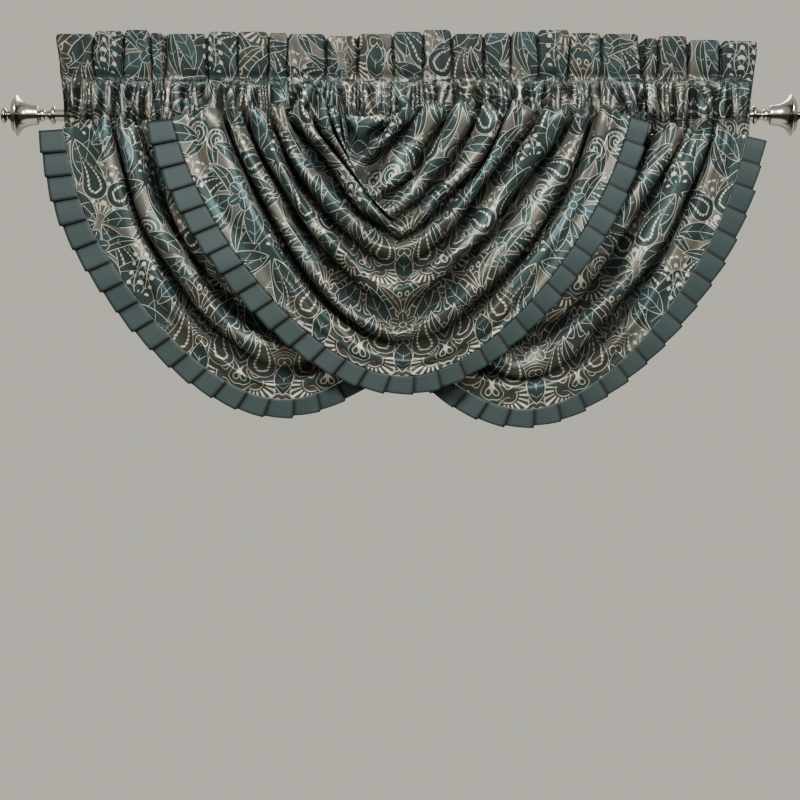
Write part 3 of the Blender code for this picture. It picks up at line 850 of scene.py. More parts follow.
# %% [markdown]
# ## Laying the motifs
#
# Each motif is painted over the ones before it. The floral part would look stiff on a perfect
# grid, so a slow noise shifts the cloth's coordinates by some millimetres first. The damask part
# has loose scrolling threads between its motifs, which are the contour lines of a noise.

# %% The repeat group
def tile(cloth, width, height, shift=(0.0, 0.0)):
    """Folds cloth coordinates into a mirrored tile: x from 0 to half the width, y centred."""
    x, y = split(cloth.vector("ADD", (*shift, 0.0)))
    return join(x.math("PINGPONG", width / 2), y.math("WRAP", height, 0.0) - height / 2)


def after(where, code):
    """The same place, worked out only once a code is known. Cycles can hold 255 numbers of a
    material at once, so a long drawing has to be worked out one motif at a time."""
    return code.vector("MULTIPLY_ADD", (1e-6, 1e-6, 0.0), where)


def place_motifs(where, code, table, pen):
    """Lays motifs over a yarn code, one after another."""
    for group, at, turn, size, fill, drawn in table:
        here = after(where, code) if isinstance(code, Wire) else where
        here = add(
            here.tree, "ShaderNodeMapping", here, (*at, 0), (0, 0, math.radians(turn)),
            (size, size, 1), vector_type="TEXTURE",
        )
        shape, lines = use(here.tree, group, here, pen / size)
        code = paint(lines, paint(shape, code, fill), drawn)
    return code


REPEAT, (cloth,), results = new_group(
    "jacquard repeat", {"Cloth": "Vector"}, {"Floral": "Color", "Damask": "Color"}
)
drift = noise(cloth, 4.0, 1.0, "Color").vector("SUBTRACT", (0.5, 0.5, 0.5)).scaled(0.020)
soft = cloth.vector("ADD", drift)
spare = tile(soft, *FLORAL_TILE, shift=(FLORAL_TILE[0] / 2, FLORAL_TILE[1] / 2))
floral = place_motifs(spare, GROUND, FILLING, PEN)
floral = place_motifs(tile(after(soft, floral), *FLORAL_TILE), floral, FLORAL, PEN)
mirrored = tile(after(soft, floral), *DAMASK_TILE)
threads = below((noise(mirrored, 13.0) * 13.0).math("PINGPONG", 0.5), 0.055, 0.035)
damask = paint(below(noise(mirrored, 17.0), 0.47, 0.02), GROUND, TEAL)
damask = place_motifs(mirrored, paint(threads, damask, IVORY), DAMASK, FINE_PEN)
feed(floral, results[0])
feed(damask, results[1])
print("repeat group:", len(REPEAT.nodes), "nodes")

# %% [markdown]
# ## Weave
#
# Close up, the ground is a satin with fine diagonal steps, and the woven figures are coarser
# floats. One group makes the threads for both cloths: a height for the bump, and a slight
# change of brightness from thread to thread.

# %% Weave group
WEAVE, (cloth, count), results = new_group(
    "weave", {"Cloth": "Vector", "Threads": "Float"}, {"Height": "Float", "Tint": "Float"}
)
x, y = split(cloth.scaled(count))
warp = abs((x * math.pi).math("SINE"))
twill = abs(((x * 0.5 + y) * math.pi).math("SINE"))
slub = noise(cloth.vector("MULTIPLY", (900.0, 60.0, 1.0)), 1.0, 2.0)
feed(twill.fit(0.6, warp * 0.4), results[0])
feed(slub.fit(0.24, 0.88), results[1])
print("weave group:", len(WEAVE.nodes), "nodes")

# %% [markdown]
# ## The jacquard
#
# The taupe satin ground reflects light along its long floats, so it is bright where a roll
# faces the room and falls off fast beside it. Some metallic share in the shader gives that
# fall-off. The ivory figures are matt by comparison. Deep in a valley, cloth faces cloth and
# little light gets in, so the sheets carry a number called valley that darkens them there.

# %% Jacquard material
YARNS = {
    "taupe": (0.108, 0.105, 0.089, 1),
    "bronze": (0.048, 0.049, 0.041, 1),
    "slate": (0.026, 0.039, 0.037, 1),
    "accent": (0.034, 0.058, 0.060, 1),
    "ivory": (0.40, 0.39, 0.33, 1),
}
VALLEY_SHADE = 0.90  # how much colour the painted shade takes away at its darkest
JACQUARD_THREADS, EDGING_THREADS = 700.0, 420.0  # to a metre


def new_material(name):
    """A material, its tree and its shader."""
    material = bpy.data.materials.new(name)
    material.use_nodes = True
    return material, material.node_tree, material.node_tree.nodes["Principled BSDF"]


def shade(tree, name):
    """A named number that a cloth piece carries on its points."""
    return add(tree, "ShaderNodeAttribute", attribute_name=name, out="Fac")


def relief(shader, height, strength, distance):
    """Gives a material a fine relief by bending its normals."""
    bump = height.tree.nodes.new("ShaderNodeBump")
    bump.inputs["Strength"].default_value = strength
    bump.inputs["Distance"].default_value = distance
    feed(height, bump.inputs["Height"])
    feed(Wire(height.tree, bump.outputs[0]), shader.inputs["Normal"])


JACQUARD, tree, shader = new_material("jacquard")
cloth = add(tree, "ShaderNodeUVMap", uv_map="cloth")
floral, damask = use(tree, REPEAT, cloth)
straying = noise(cloth, 9.0).fit(0.16, -0.08)
middle = below(shade(tree, "zone") + straying, ZONE_EDGE, 0.03)
codes = tree.nodes.new("ShaderNodeSeparateColor")
feed(paint(middle, floral, damask), codes.inputs[0])
teal, ivory, accent = (Wire(tree, socket) for socket in codes.outputs)
height, tint = use(tree, WEAVE, cloth, JACQUARD_THREADS)
colour = paint(middle, YARNS["taupe"], YARNS["bronze"])
for mask, name in ((teal, "slate"), (accent, "accent"), (ivory, "ivory")):
    colour = paint(mask, colour, YARNS[name])
# Painted shade: where the valley number is high, the colour darkens, the roughness rises and the
# metallic share falls
valley = shade(tree, "valley")
figure = most(ivory, teal * 0.4)
feed(colour.scaled(tint * valley.fit(-VALLEY_SHADE, 1.0)), shader.inputs["Base Color"])
feed(most(figure.fit(0.16, 0.32), valley), shader.inputs["Roughness"])
feed(figure.fit(-0.25, 0.60) * (1.0 - valley), shader.inputs["Metallic"])
shader.inputs["Specular IOR Level"].default_value = 0.04
relief(shader, height, 0.3, 0.0004)
print("jacquard:", len(tree.nodes), "nodes, with", len(REPEAT.nodes), "in its repeat")

# %% [markdown]
# ## The edging cloth
#
# The edging is a plain faille, a cloth with fine ribs across the strip. It has no pattern, so
# it shows its folds mostly by light. Two close colours mixed by a noise keep it from looking
# like paint, and a painted shade darkens it where a face slips under the next pleat.

# %% Edging material
RIB_WIDTH = 0.0026
EDGING_CLOTH, tree, shader = new_material("edging_cloth")
cloth = add(tree, "ShaderNodeUVMap", uv_map="cloth")
height, tint = use(tree, WEAVE, cloth, EDGING_THREADS)
ribs = abs((split(cloth)[1] * (math.pi / RIB_WIDTH)).math("SINE"))
cloudy = noise(cloth, 22.0, 2.0)
colour = paint(cloudy, (0.0115, 0.0225, 0.0225, 1), (0.016, 0.029, 0.0285, 1))
# painted shade where a face slips under the pleat before it
colour = colour.scaled(tint * shade(tree, "valley").fit(-VALLEY_SHADE, 1.0))
feed(colour, shader.inputs["Base Color"])
feed(cloudy.fit(0.15, 0.52), shader.inputs["Roughness"])
shader.inputs["Specular IOR Level"].default_value = 0.25
relief(shader, ribs + height * 0.4, 0.3, 0.0006)
print("edging cloth:", len(tree.nodes), "nodes")

# %% [markdown]
# ## Satin nickel
#
# Turned metal shows fine rings round its axis, so the noise is stretched until it is narrow
# along the rod only. A polished round thing in a room mirrors a dark line where it starts to
# face the floor. The studio has nothing dark to mirror, so the line is painted by the normal.

# %% Nickel material
NICKEL, tree, shader = new_material("satin_nickel")
place = add(tree, "ShaderNodeTexCoord", out="Object")
turning = noise(place.vector("MULTIPLY", (1400.0, 12.0, 12.0)), 1.0, 2.0)
bright = paint(turning, (0.38, 0.365, 0.335, 1), (0.46, 0.44, 0.41, 1))
normal = add(tree, "ShaderNodeNewGeometry", out="Normal")
upward = add(
    tree, "ShaderNodeVectorMath", normal, (0.0, 0.0, 1.0), operation="DOT_PRODUCT", out="Value"
)
dark_line = line(upward + 0.22, 0.2)
feed(paint(dark_line, bright, (0.05, 0.047, 0.042, 1)), shader.inputs["Base Color"])
feed(turning.fit(0.10, 0.14), shader.inputs["Roughness"])
shader.inputs["Metallic"].default_value = 1.0
relief(shader, turning, 0.12, 0.0003)
print("nickel:", len(tree.nodes), "nodes")

# %% [markdown]
# ## Making the swags
#
# The columns of a swag lie closer together near the seam, where the round tips need them. Its
# flat coordinates are worked out without the gathers, so that the pattern runs on under them.

# %% Make the swags
SWAG_THICKNESS = 1.2 * MM
swags = {}
for side in VALANCES:
    levels = np.linspace(0, TOP_LEVEL, TOP_LEVEL * SWAG_ROWS_PER_FOLD[side] + 1)
    even = np.linspace(0, PLEATS, SWAG_COLUMNS[side] + 1)
    extra = even[1] * np.array(SEAM_STATIONS)
    shares = hem_place(np.unique(np.concatenate((even, extra, PLEATS - extra))))
    points, shades = swag_points(side, levels, shares)
    flat = cloth_coordinates(swag_points(side, levels, shares, gather=0.0)[0])
    swags[side] = cloth_piece(
        f"swag_cloth_{side}", points, flat, JACQUARD, SWAG_THICKNESS, shades=shades
    )
    flat_size(flat)
    print(f"swag {side}: {points.shape[0]} x {points.shape[1]} points,",
          f"{cloth_area(points):.3f} square metres")

# %% [markdown]
# ## The knife-pleated edging
#
# A knife pleat is a Z in section: the face runs forward to its fold, turns back under itself,
# and turns again into the next face. The strip could be folded by hand one pleat at a time, but
# all pleats are alike, so one path with a face, a fold, a return and a fold is repeated along
# the hem. The widths of the strip come from a short table, because it narrows at the bottom.

# %% Edging
EDGING_THICKNESS = 0.7 * MM
EDGING_WIDTHS = np.array((  # share of the way round the hem, width in mm
    (0.0, 57), (0.12, 58), (0.38, 47), (0.50, 38), (0.62, 39), (0.85, 50), (1.0, 43),
))
PLEAT_LAP = 5.0 * MM  # each face is this much longer at its fold, which makes the edge stepped
LAP_UNEVEN = (-1.2, 1.6)  # and differs by this much, in mm
PLEAT_RETURN = 0.42  # how far a pleat folds back, in pleats
PLEAT_LAYER = 1.7 * MM
PLEAT_FACE_RISE = 4.6 * MM
PLEAT_TILT = ((0, 0.45, 0.6, 1), (7, 12, 6, 2))  # share of the way, slant in degrees
HEM_STEP = 0.004  # the hem's direction is taken between two points this share apart
SEWN_IN = 0.6 * MM
EDGE_RIPPLE = 1.5 * MM
EDGING_ROWS = 9
EDGING_SEEDS = {"left": 3, "centre": 7, "right": 9}
print("pleats:", PLEATS, "in each edging, with", round(PLEAT_RETURN, 2), "of each folded back")

# %% Points of the edging
def pleat_path():
    """One pleat as pairs: the station along the hem in pleats, and the layer, 0 in front and 2
    behind."""
    face = np.linspace(-PLEAT_RETURN, 1.0, 13)
    layer = 2.0 - 2.0 * smooth(-PLEAT_RETURN, 0.9, face)
    fold = [(1.012, 0.25), (1.016, 0.6), (1.010, 0.95)]
    back = [(1.0 - part * PLEAT_RETURN, 1.1 + 0.5 * part) for part in (0.05, 0.4, 0.8, 0.96)]
    turn = [(1.0 - PLEAT_RETURN - 0.010, 1.75), (1.0 - PLEAT_RETURN - 0.012, 1.9)]
    return list(zip(face, layer)) + fold + back + turn


def edging_points(side):
    """The points of an edging, and the painted shade of each column, dark where its face is tucked
    under the pleat before.
    """
    path = [(pleat + at, layer) for pleat in range(PLEATS) for at, layer in pleat_path()]
    stations, layers = np.array([step for step in path if step[0] >= 0]).T
    draw = np.random.default_rng(EDGING_SEEDS[side])
    pleat_number = np.clip(np.ceil(stations - 0.001) - 1, 0, PLEATS - 1).astype(int)
    uneven_lap = draw.uniform(*LAP_UNEVEN, PLEATS)[pleat_number] * MM
    along = hem_place(np.clip(stations, 0, PLEATS))
    past = np.maximum(stations - PLEATS, 0) * HEM_RUN[-1] / PLEATS
    x, z = hung(side, *fold_place(0, along))
    ax, az = hung(side, *fold_place(0, np.minimum(along + HEM_STEP, 1)))
    bx, bz = hung(side, *fold_place(0, np.maximum(along - HEM_STEP, 0)))
    ahead = np.stack((ax - bx, az - bz), axis=-1)
    ahead /= np.linalg.norm(ahead, axis=-1, keepdims=True)
    out = np.stack((ahead[:, 1], -ahead[:, 0]), axis=-1)
    width = np.interp(along, EDGING_WIDTHS[:, 0], EDGING_WIDTHS[:, 1]) * MM
    in_face = np.clip(stations - np.floor(stations - 0.0001), 0, 1)
    lap = PLEAT_LAP * in_face + uneven_lap
    tilt = np.radians(np.interp(along, *PLEAT_TILT))
    height = roll_height(np.zeros(len(along)), along)[0]
    grid = []
    for part in np.linspace(0, 1, EDGING_ROWS):
        reach = SEWN_IN + (width + lap - SEWN_IN) * part
        back = -np.tan(tilt) * reach
        px = x + out[:, 0] * reach + ahead[:, 0] * (back + past)
        pz = z + out[:, 1] * reach + ahead[:, 1] * (back + past)
        fold_z = np.minimum((pz - VALANCES[side]["drop"] * MM) / VALANCES[side]["stretch"], SEAM_Z)
        y = depth(side, px, pz, fold_z, height, HEM_PROFILE[0, 1], 0.0)
        lift = PLEAT_FACE_RISE * (1 - layers / 2.0) * (0.25 + 0.75 * part)
        y = y + (layers - 1.0) * PLEAT_LAYER - lift
        y = y - EDGE_RIPPLE * part * uneven(31, stations * 0.35)
        grid.append(np.stack((px, y, pz), axis=-1))
    # painted shade: a face is darkened just after the fold of the pleat that lies over it
    tucked = 1 - smooth(0.03, 0.15, stations - np.floor(stations + 0.02))
    return np.array(grid), np.broadcast_to(tucked, (EDGING_ROWS, len(tucked)))


def strip_coordinates(points):
    """Flat coordinates of an edging: the strip with its pleats pulled out."""
    along = np.linalg.norm(np.diff(points, axis=1), axis=-1).mean(axis=0)
    run = np.concatenate(([0], np.cumsum(along)))
    up = np.linalg.norm(points - points[:1], axis=-1)
    return np.stack((np.broadcast_to(run, up.shape), up), axis=-1)


# %% Make the edgings
edgings = {}
for side in VALANCES:
    points, tucked = edging_points(side)
    flat = strip_coordinates(points)
    edgings[side] = cloth_piece(
        f"edging_cloth_{side}", points, flat, EDGING_CLOTH, EDGING_THICKNESS,
        shades={"valley": tucked},
    )
    flat_size(flat)
    print(f"edging {side}: {points.shape[1]} columns, {cloth_area(points):.3f} square metres")

# %% [markdown]
# ## The heading bands
#
# The band is one strip folded over the rod, so its section is a closed loop: up the front,
# over the top and down the back, round the rod. A few control points draw that loop for each
# column of the band, and a smooth curve through them makes the fine sheet. Along the band, the
# heading waves forward in boxy puffs, with narrow gaps where the cloth turns back.

# %% Band tables
# The left end of each band, and the right end and top of each of its puffs, in mm.
PUFFS = {
    "left": (-798, ((-712, 185), (-644, 192), (-580, 194), (-551, 187))),
    "centre": (-543, (
        (-451, 185), (-381, 190), (-313, 190), (-269, 187), (-181, 185), (-107, 180), (-23, 185),
        (43, 190), (110, 194), (184, 185), (244, 187), (309, 190), (378, 194), (454, 187),
        (538, 185),
    )),
    "right": (549, ((581, 175), (651, 180), (726, 171), (812, 169))),
}
SLOPED_ENDS = {  # a band's free end, and how far it slants inward towards the pocket, in mm
    "left": ((-798, 19),),
    "centre": ((-543, -11.5), (538, -14.5)),
    "right": ((812, 19),),
}
END_REACH, END_HEIGHT = 70 * MM, 170 * MM
STRIP_END = {"left": 283 * MM, "right": -269 * MM}
STRIP_TOP = {"left": 180 * MM, "right": 165 * MM}
POCKET_RADIUS = 16.8 * MM
LEAF_APART = 2.5 * MM  # half the distance between the band's two layers
WAIST_Z = 30 * MM
STITCH_Z = 86 * MM  # the pocket is sewn shut here, and the heading stands above
PUFF_FRONT = -12 * MM  # y of the puffs, and of the gaps between them
PUFF_BACK = 7 * MM
PUFF_DIP = 7 * MM
NARROW_PUFF = 40  # mm
POCKET_FULL = 3.0 * MM
PUFF_COLUMNS = 36
STRIP_STEP = 14 * MM
SECTION_POINTS = 80
ROD_RADIUS = 14 * MM
print("puffs:", {side: len(puffs) for side, (start, puffs) in PUFFS.items()})

# %% [markdown]
# ## The section of a band
#
# Every column of a band has the same few control points, so all columns are worked out at once.
# The section is round where it hugs the rod, narrow at the waist above it, closed at the
# stitching and open again in the puffs. Behind the centre valance the side bands have left the
# rod and lie flat.

# %% Band section


def band_columns(side):
    """Columns along a band: x, puff phase, wave, fullness and top."""
    start, puffs = PUFFS[side]
    columns = []
    left = start
    count = len(puffs)
    for i, (right, top) in enumerate(puffs):
        width = right - left
        steps = PUFF_COLUMNS if width > NARROW_PUFF else PUFF_COLUMNS // 2
        for q in np.arange(steps) / steps:
            at_end = (i == 0 and q < 0.5) or (i == count - 1 and q > 0.5)
            box = smooth(0, 0.12, q) * smooth(0, 0.12, 1 - q)
            low = PUFF_FRONT * 0.3 if at_end else PUFF_BACK
            dip = PUFF_DIP * (0.3 if at_end else 1)
            belly = 1 + 0.16 * math.sin(math.pi * q)
            wave = low + (PUFF_FRONT * belly - low) * float(box)
            spread = q - 0.075 * math.sin(2 * math.pi * q) * (0 if width < NARROW_PUFF else 1)
            full = 0.2 + 0.8 * float(box)
            arch = top * MM - dip * (1 - float(smooth(0, 0.22, q) * smooth(0, 0.22, 1 - q)))
            columns.append(((left + spread * width) * MM, i + q, wave, full, arch))
        left = right
    columns.append((left * MM, count, PUFF_FRONT * 0.3, 0.2, puffs[-1][1] * MM - PUFF_DIP * 0.3))
    if side == "centre":
        return np.array(columns)
    sign = -1 if side == "left" else 1
    begin = sign * (HEADING_SLIP[0] - 2 * MM)
    steps = int(abs(STRIP_END[side] - begin) / STRIP_STEP)
    flat = [(x, 0, 0, 0, STRIP_TOP[side]) for x in np.linspace(begin, STRIP_END[side], steps)]
    return np.array(columns + flat if side == "left" else flat[::-1] + columns)


def pocket_low(side, x):
    """The lowest point of a band, where its swag is sewn on."""
    if side == "centre":
        return np.full(np.shape(x), -POCKET_RADIUS)
    place = VALANCES[side]
    seam = seam_height(x - place["shift"] * MM) * place["stretch"] + place["drop"] * MM
    return seam + 1.8 * MM


def band_loop(side, x, wave, full, top):
    """The control points (y, z) of a band's closed section, for all columns at once."""
    away = slipped(side, x, POCKET_SLIP)
    away_top = slipped(side, x, HEADING_SLIP)
    on_rod = 1 - away
    strip = VALANCES[side]["strip"] * MM
    stand = POCKET_FULL * full * on_rod
    radius = POCKET_RADIUS * on_rod + LEAF_APART * away
    waist = 0.62 * radius + LEAF_APART * 0.4
    swell = stand * (0.0 if side == "centre" else 0.5)
    lift = wave * (1 - away_top)
    round_y = math.cos(math.radians(45))
    round_z = -POCKET_RADIUS * math.sin(math.radians(45))
    level = np.zeros(len(x))
    low, high = strip * away, strip * away_top
    loop = (
        (low + POCKET_LOW_Y[side] * on_rod, pocket_low(side, x)),
        (low - (radius + swell) * round_y, level + round_z),
        (low - (radius + swell), level + 2 * MM),
        (low - (waist + stand), level + WAIST_Z),
        (low * 0.5 + high * 0.5 - 0.5 * (waist + stand) - 1.5 * MM, level + 58 * MM),
        (high + lift * 0.20 - LEAF_APART, level + STITCH_Z),
        (high + lift * 0.85 - LEAF_APART, level + STITCH_Z + 16 * MM),
        (high + lift - LEAF_APART, level + STITCH_Z + 40 * MM),
        (high + lift - LEAF_APART, top - 22 * MM),
        (high + lift * 0.97 - LEAF_APART, top - 5 * MM),
        (high + lift * 0.95, top),
        (high + lift * 0.97 + LEAF_APART, top - 5 * MM),
        (high + lift + LEAF_APART, top - 22 * MM),
        (high + lift + LEAF_APART, level + STITCH_Z + 40 * MM),
        (high + lift * 0.85 + LEAF_APART, level + STITCH_Z + 16 * MM),
        (high + lift * 0.20 + LEAF_APART, level + STITCH_Z),
        (low + waist + stand * 0.3, level + WAIST_Z),
        (low + radius, level + 2 * MM),
        (low + radius * round_y, level + round_z),
    )
    return np.array(loop).transpose(2, 0, 1)


def closed_curve(loop, count):
    """A smooth closed curve through the control points of each column."""
    size = loop.shape[1]
    at = np.linspace(0, size, count, endpoint=False)
    i = np.floor(at).astype(int)
    t = (at - i)[None, :, None]
    a, b, c, d = (loop[:, (i + k) % size] for k in (-1, 0, 1, 2))
    return 0.5 * (
        2 * b + (c - a) * t + (2 * a - 5 * b + 4 * c - d) * t**2 + (3 * b - a - 3 * c + d) * t**3
    )


print("control points of a section:", band_loop("centre", *np.zeros((4, 1))).shape[1])

# %% [markdown]
# ## The surface of a band
#
# The gathers in the pocket are the finest folds of the piece: sharp valleys between round
# ridges, which a sine without its sign gives. They are spaced unevenly by a noise. The painted
# shade between them is worked out beside them and kept for the material, as for the swags.

# %% Band surface
BAND_SEEDS = {"left": 41, "centre": 43, "right": 47}
GATHER_SPACE, GATHER_RISE = 16 * MM, 9.0 * MM
FINE_SPACE = 12 * MM
PUFF_SAG, SAG_UNEVEN = 12 * MM, 6 * MM  # how much lower a puff's stitching is in its middle
PINCH_REACH = 7 * MM
PUFF_SWAY = 2.6 * MM
HEADING_SHADE = 0.54  # the heading stands upright, so the light from above passes it by
JUMP = 0.05  # how much cloth a gather can hide, in metres
SEAM_LEVELS = (  # x along the seam, and the fold that starts there
    np.concatenate((FOLDS[:, 0], FOLDS[::-1, 6])) * MM,
    np.concatenate((np.arange(len(FOLDS)), np.arange(len(FOLDS))[::-1])),
)


def sloped_end(side, x, z):
    """Slants a band's free ends."""
    for end, inset in SLOPED_ENDS[side]:
        share = 1 - smooth(0, END_REACH, np.abs(x - end * MM))
        x = x - math.copysign(1, end) * inset * MM * share * (1 - smooth(0, END_HEIGHT, z))
    return x


def band_points(side):
    """The points of a band, how much painted shade each one gets and how much cloth is hidden
    beside it.
    """
    x, phase, wave, full, top = band_columns(side).T
    curve = closed_curve(band_loop(side, x, wave, full, top), SECTION_POINTS)
    y, z = curve[..., 0], curve[..., 1]
    far_x = np.broadcast_to(x[:, None], y.shape)
    on_rod = 1 - slipped(side, far_x, HEADING_SLIP)
    front = np.zeros(SECTION_POINTS)
    front[: SECTION_POINTS // 2] = 1
    out = np.where(front > 0, -1.0, 0.6)[None, :]
    seed = BAND_SEEDS[side]
    # Fine gathers in the pocket: round ridges with sharp valleys, spaced unevenly.
    warp = far_x / GATHER_SPACE + 0.75 * uneven(seed, far_x * 17, z * 5)
    ridge = np.abs(np.sin(np.pi * warp)) ** 0.6 * (0.7 + 0.3 * uneven(seed + 5, far_x * 31, z * 6))
    warp_two = far_x / FINE_SPACE + 0.5 * uneven(seed + 1, far_x * 23)
    ridge_two = np.abs(np.sin(np.pi * warp_two)) ** 0.9
    # Each puff sags a little in its middle, so the stitching runs in scallops.
    sag = PUFF_SAG * np.abs(np.sin(np.pi * phase)) + SAG_UNEVEN * uneven(seed + 6, phase * 2.3)
    z_here, z = z, z + sag[:, None] * smooth(40 * MM, STITCH_Z, z)
    low_fade = smooth(-12 * MM, 12 * MM, z) if side == "centre" else smooth(-40 * MM, -5 * MM, z)
    zone = low_fade * (1 - smooth(STITCH_Z - 22 * MM, STITCH_Z + 6 * MM, z))
    seam = np.exp(-(((z - 4 * MM) / (14 * MM)) ** 2)) * (front[None, :] > 0)
    gathers = zone * (GATHER_RISE * ridge) + seam * low_fade * 1.8 * MM * ridge_two
    seam_x = far_x - VALANCES[side]["shift"] * MM
    crest, valley = roll(np.interp(seam_x, *SEAM_LEVELS), ROLL_SHARE[0], 0.0)
    rolls = (1 - smooth(0, 40 * MM, z)) * front[None, :]
    gathers = gathers * (1 - 0.6 * rolls) + low_fade * rolls * 3.0 * MM * crest
    stitch = np.exp(-(((z - STITCH_Z) / (7 * MM)) ** 2)) * 3.0 * MM * ridge_two
    heading = smooth(STITCH_Z + 4 * MM, STITCH_Z + 34 * MM, z)
    rumple = heading * 1.5 * MM * uneven(seed + 2, far_x * 30, z * 14)
    y = y + out * (gathers + stitch + rumple) * on_rod
    # The puffs sway a little, so their sides aren't straight.
    sway = (PUFF_SWAY * uneven(seed + 3, far_x * 9, z * 10)) * heading * on_rod
    far_x = sloped_end(side, far_x + sway, z)
    # Painted shade: the gaps between the puffs, the valleys between the gathers, the swag's rolls
    # that run up into the band, the stitching and the whole heading are darkened
    between = 1 - np.clip(full, 0.2, 1) * 1.25 + 0.25
    upper = smooth(STITCH_Z + 70 * MM, STITCH_Z + 110 * MM, z)
    gaps = heading * between[:, None] ** 2 * (1 - upper * 0.3)
    folds = zone * (1 - smooth(0.28, 0.80, ridge)) + seam * (1 - smooth(0.1, 0.6, ridge_two)) * 0.6
    folds = np.maximum(folds, valley * rolls)
    at_stitch = np.exp(-(((z - STITCH_Z - 1 * MM) / PINCH_REACH) ** 2))
    pinch = at_stitch * (0.72 + 0.28 * (1 - smooth(0.1, 0.7, ridge_two)))
    # The shade between two puffs is a wedge, wide at the stitching and narrow above.
    from_gap = np.minimum(phase % 1, 1 - phase % 1)[:, None]
    wedge = 1 - smooth(0, 0.05 + 0.30 * (1 - smooth(STITCH_Z, STITCH_Z + 34 * MM, z)), from_gap)
    wedge = wedge * smooth(STITCH_Z - 6 * MM, STITCH_Z + 2 * MM, z) * 0.9
    darkest = np.maximum.reduce((gaps, folds, pinch, wedge, HEADING_SHADE * heading))
    band_shade = np.clip(darkest * on_rod, 0, 1)
    # In the pocket every gather hides some cloth, so the repeat jumps from ridge to ridge.
    jumps = np.random.default_rng(seed).uniform(-1, 1, 400)[np.floor(warp).astype(int) % 400]
    hidden = JUMP * jumps * ((z < STITCH_Z) & (z > -12 * MM)) * on_rod
    return np.stack((far_x, y, z_here), axis=-1), band_shade, hidden


def band_coordinates(points):
    """Flat coordinates of a band: along the strip, and round its section."""
    round_it = np.linalg.norm(np.diff(points, axis=1), axis=-1)
    up = np.concatenate((np.zeros((len(points), 1)), np.cumsum(round_it, axis=1)), axis=1)
    along = np.linalg.norm(np.diff(points, axis=0), axis=-1)
    share = np.concatenate(([0], np.cumsum(along.mean(axis=1))))
    return np.stack((np.broadcast_to(share[:, None], up.shape), up), axis=-1)


def near_rod(middle):
    """Which faces would lie inside the rod."""
    return np.hypot(middle[:, 1], middle[:, 2]) < ROD_RADIUS + 1.2 * MM


# %% Make the bands
BAND_THICKNESS = 1.0 * MM
STRIP_SLANT = 0.30  # the strips are cut a little off the grain
ZONE_REPEAT = 0.31  # the damask comes back along the strip after this many metres
bands = {}
for side in VALANCES:
    points, band_shade, hidden = band_points(side)
    closed, band_shade, hidden = (
        np.concatenate((grid, grid[:, :1]), axis=1) for grid in (points, band_shade, hidden)
    )
    flat = band_coordinates(closed)
    run = flat[..., 0].copy()
    flat[..., 0] += hidden
    flat[..., 1] += STRIP_SLANT * run
    zone = ZONE_EDGE + 0.12 + 0.22 * np.sin(2 * np.pi * run / ZONE_REPEAT + len(side))
    bands[side] = cloth_piece(
        f"band_cloth_{side}", closed, flat, JACQUARD, BAND_THICKNESS, drop=near_rod,
        shades={"valley": band_shade, "zone": zone},
    )
    flat_size(band_coordinates(closed))
    print(f"band {side}: {closed.shape[0]} x {closed.shape[1]}, {cloth_area(closed):.3f} m2")

# %% [markdown]
# ## Rod and finials
#
# Both are turned on a lathe, so a profile swept round the rod's axis is all they need. The
# profile is written as distance and radius, and a fine sweep keeps the outline round.

# %% The finial's profile
FINIAL_PROFILE = (  # distance from the rod's end and radius, in mm
    (0, 17), (0.4, 18.5), (2, 21), (3.4, 21.5), (5.5, 21.4), (8, 20), (9.5, 17), (12, 13.6),
    (16, 11), (19, 9.9), (22, 9.5), (23.5, 9.7), (24.4, 11.5), (26, 13.4), (30, 14.6),
    (34, 13.4), (35.6, 11.5), (36.4, 10.9), (37.4, 11), (38.2, 13), (38.6, 19.5), (39.6, 21.6),
    (42, 22.5), (46, 23.0), (52, 23.7), (60, 25), (66, 27), (72, 30), (76, 33), (80, 37),
    (83, 41.5), (85, 45), (86.4, 46.8), (88, 47.2), (89.4, 46.4), (90.4, 44), (91, 41), (92, 39.6),
    (94, 38.6), (97, 37.2), (98.4, 35), (99.4, 30), (101, 22), (103, 15.5), (106, 11), (109, 9.2),
    (111, 9.4), (112.4, 12), (113.6, 15.6), (115.5, 18), (118, 18.8), (120.6, 17.8), (123, 14.6),
    (125, 10.4), (126.3, 5), (126.7, 0),
)
TURNED_STEPS = 96
SHARP_EDGE = math.radians(38)
print("finial:", len(FINIAL_PROFILE), "points,", FINIAL_PROFILE[-1][0], "mm long")


# %% Turn the rod and the finials
def turned(name, profile, material):
    """Sweeps a profile of (x, radius) round the rod's axis."""
    angles = np.linspace(0, 2 * np.pi, TURNED_STEPS, endpoint=False)
    work = bmesh.new()
    rings = []
    for x, r in profile:
        if r < 0.01 * MM:
            rings.append([work.verts.new((x, 0, 0))] * TURNED_STEPS)
        else:
            rings.append([work.verts.new((x, r * math.cos(a), r * math.sin(a))) for a in angles])
    for lower, upper in zip(rings, rings[1:]):
        for i in range(TURNED_STEPS):
            j = (i + 1) % TURNED_STEPS
            corners = []
            for v in (lower[i], lower[j], upper[j], upper[i]):
                if v not in corners:
                    corners.append(v)
            if len(corners) > 2:
                work.faces.new(corners)
    bmesh.ops.recalc_face_normals(work, faces=work.faces)
    mesh = bpy.data.meshes.new(name)
    work.to_mesh(mesh)
    work.free()
    mesh.materials.append(material)
    mesh.shade_smooth()
    mesh.set_sharp_from_angle(angle=SHARP_EDGE)
    piece = bpy.data.objects.new(name, mesh)
    bpy.context.scene.collection.objects.link(piece)
    return piece


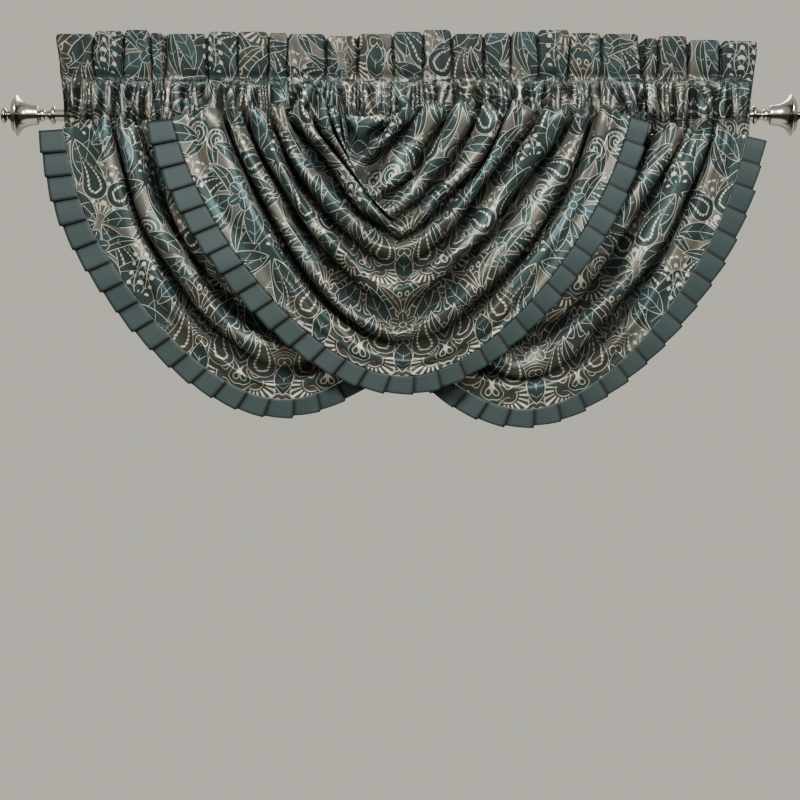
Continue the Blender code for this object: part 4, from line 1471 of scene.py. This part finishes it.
rod_low, rod_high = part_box("rod")
half = float(rod_high[0])
pole = [(-half, 0), (-half, ROD_RADIUS), (half, ROD_RADIUS), (half, 0)]
turned_pieces = {"rod": turned("rod_tube", pole, NICKEL)}
for side, sign in (("left", -1), ("right", 1)):
    low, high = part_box(f"finial_{side}")
    start = float(high[0] if sign < 0 else low[0])
    profile = [(start, 0)] + [(start + sign * s * MM, r * MM) for s, r in FINIAL_PROFILE]
    turned_pieces[f"finial_{side}"] = turned(f"finial_turned_{side}", profile, NICKEL)
print("rod", round(2 * half, 3), "m long")

# %% [markdown]
# ## Hang each piece in place
#
# Each new piece hangs under one empty, and the imported solid that it stands for is hidden.

for side in VALANCES:
    band, swag, edging = bands[side], swags[side], edgings[side]
    pieces = (
        (band, f"band_{side}", "jacquard", "gathered", ["rod"]),
        (swag, f"swag_{side}", "jacquard", "gathered", [f"band_{side}"]),
        (edging, f"edging_{side}", "edging_cloth", "folded", [f"swag_{side}"]),
    )
    for piece, node, slot, held, rests_on in pieces:
        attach(piece, "root")
        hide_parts(node)
for node, piece in turned_pieces.items():
    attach(piece, "root")
    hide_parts(node)

# %% [markdown]
# ## Light and floor
#
# Satin shows its rolls only in light that comes from one side, so the key light hangs high in
# front and the shadows fall into the valleys. A weaker one from the right opens them a little,
# and one behind shows the back. A pale sky does the rest. The floor is far down, so that its edge
# stays out of the straight view.

# %% Studio
FLOOR_Z, FLOOR_HALF = -2.95, 6.0
LIGHT_AIM = Vector((0, 0, -0.2))
LIGHTS = (  # name, place, size, watts
    ("key", (-0.1, -2.4, 1.75), (0.8, 0.8), 190),
    ("front", (1.8, -2.8, 1.4), (0.8, 0.8), 90),
    ("back", (0.4, 2.6, 1.4), (1.6, 1.0), 50),
)
for name, place, size, power in LIGHTS:
    data = bpy.data.lights.new(name, "AREA")
    data.shape = "RECTANGLE"
    data.size, data.size_y = size
    data.energy = power
    lamp = bpy.data.objects.new(name, data)
    lamp.location = place
    lamp.rotation_euler = (LIGHT_AIM - Vector(place)).to_track_quat("-Z", "Y").to_euler()
    bpy.context.scene.collection.objects.link(lamp)

floor_mesh = bpy.data.meshes.new("floor")
signs = ((-1, -1), (1, -1), (1, 1), (-1, 1))
corners = [(x * FLOOR_HALF, y * FLOOR_HALF, FLOOR_Z) for x, y in signs]
floor_mesh.from_pydata(corners, [], [(0, 1, 2, 3)])
floor = bpy.data.objects.new("floor", floor_mesh)
bpy.context.scene.collection.objects.link(floor)
FLOOR_PAINT, tree, shader = new_material("floor")
shader.inputs["Base Color"].default_value = (0.72, 0.71, 0.69, 1)
shader.inputs["Roughness"].default_value = 0.8
floor_mesh.materials.append(FLOOR_PAINT)

world = bpy.data.worlds.new("studio")
bpy.context.scene.world = world
world.use_nodes = True
sky = world.node_tree.nodes["Background"].inputs
sky["Color"].default_value = (0.825, 0.80, 0.68, 1)
sky["Strength"].default_value = 0.68
print("lights:", [name for name, *_ in LIGHTS])
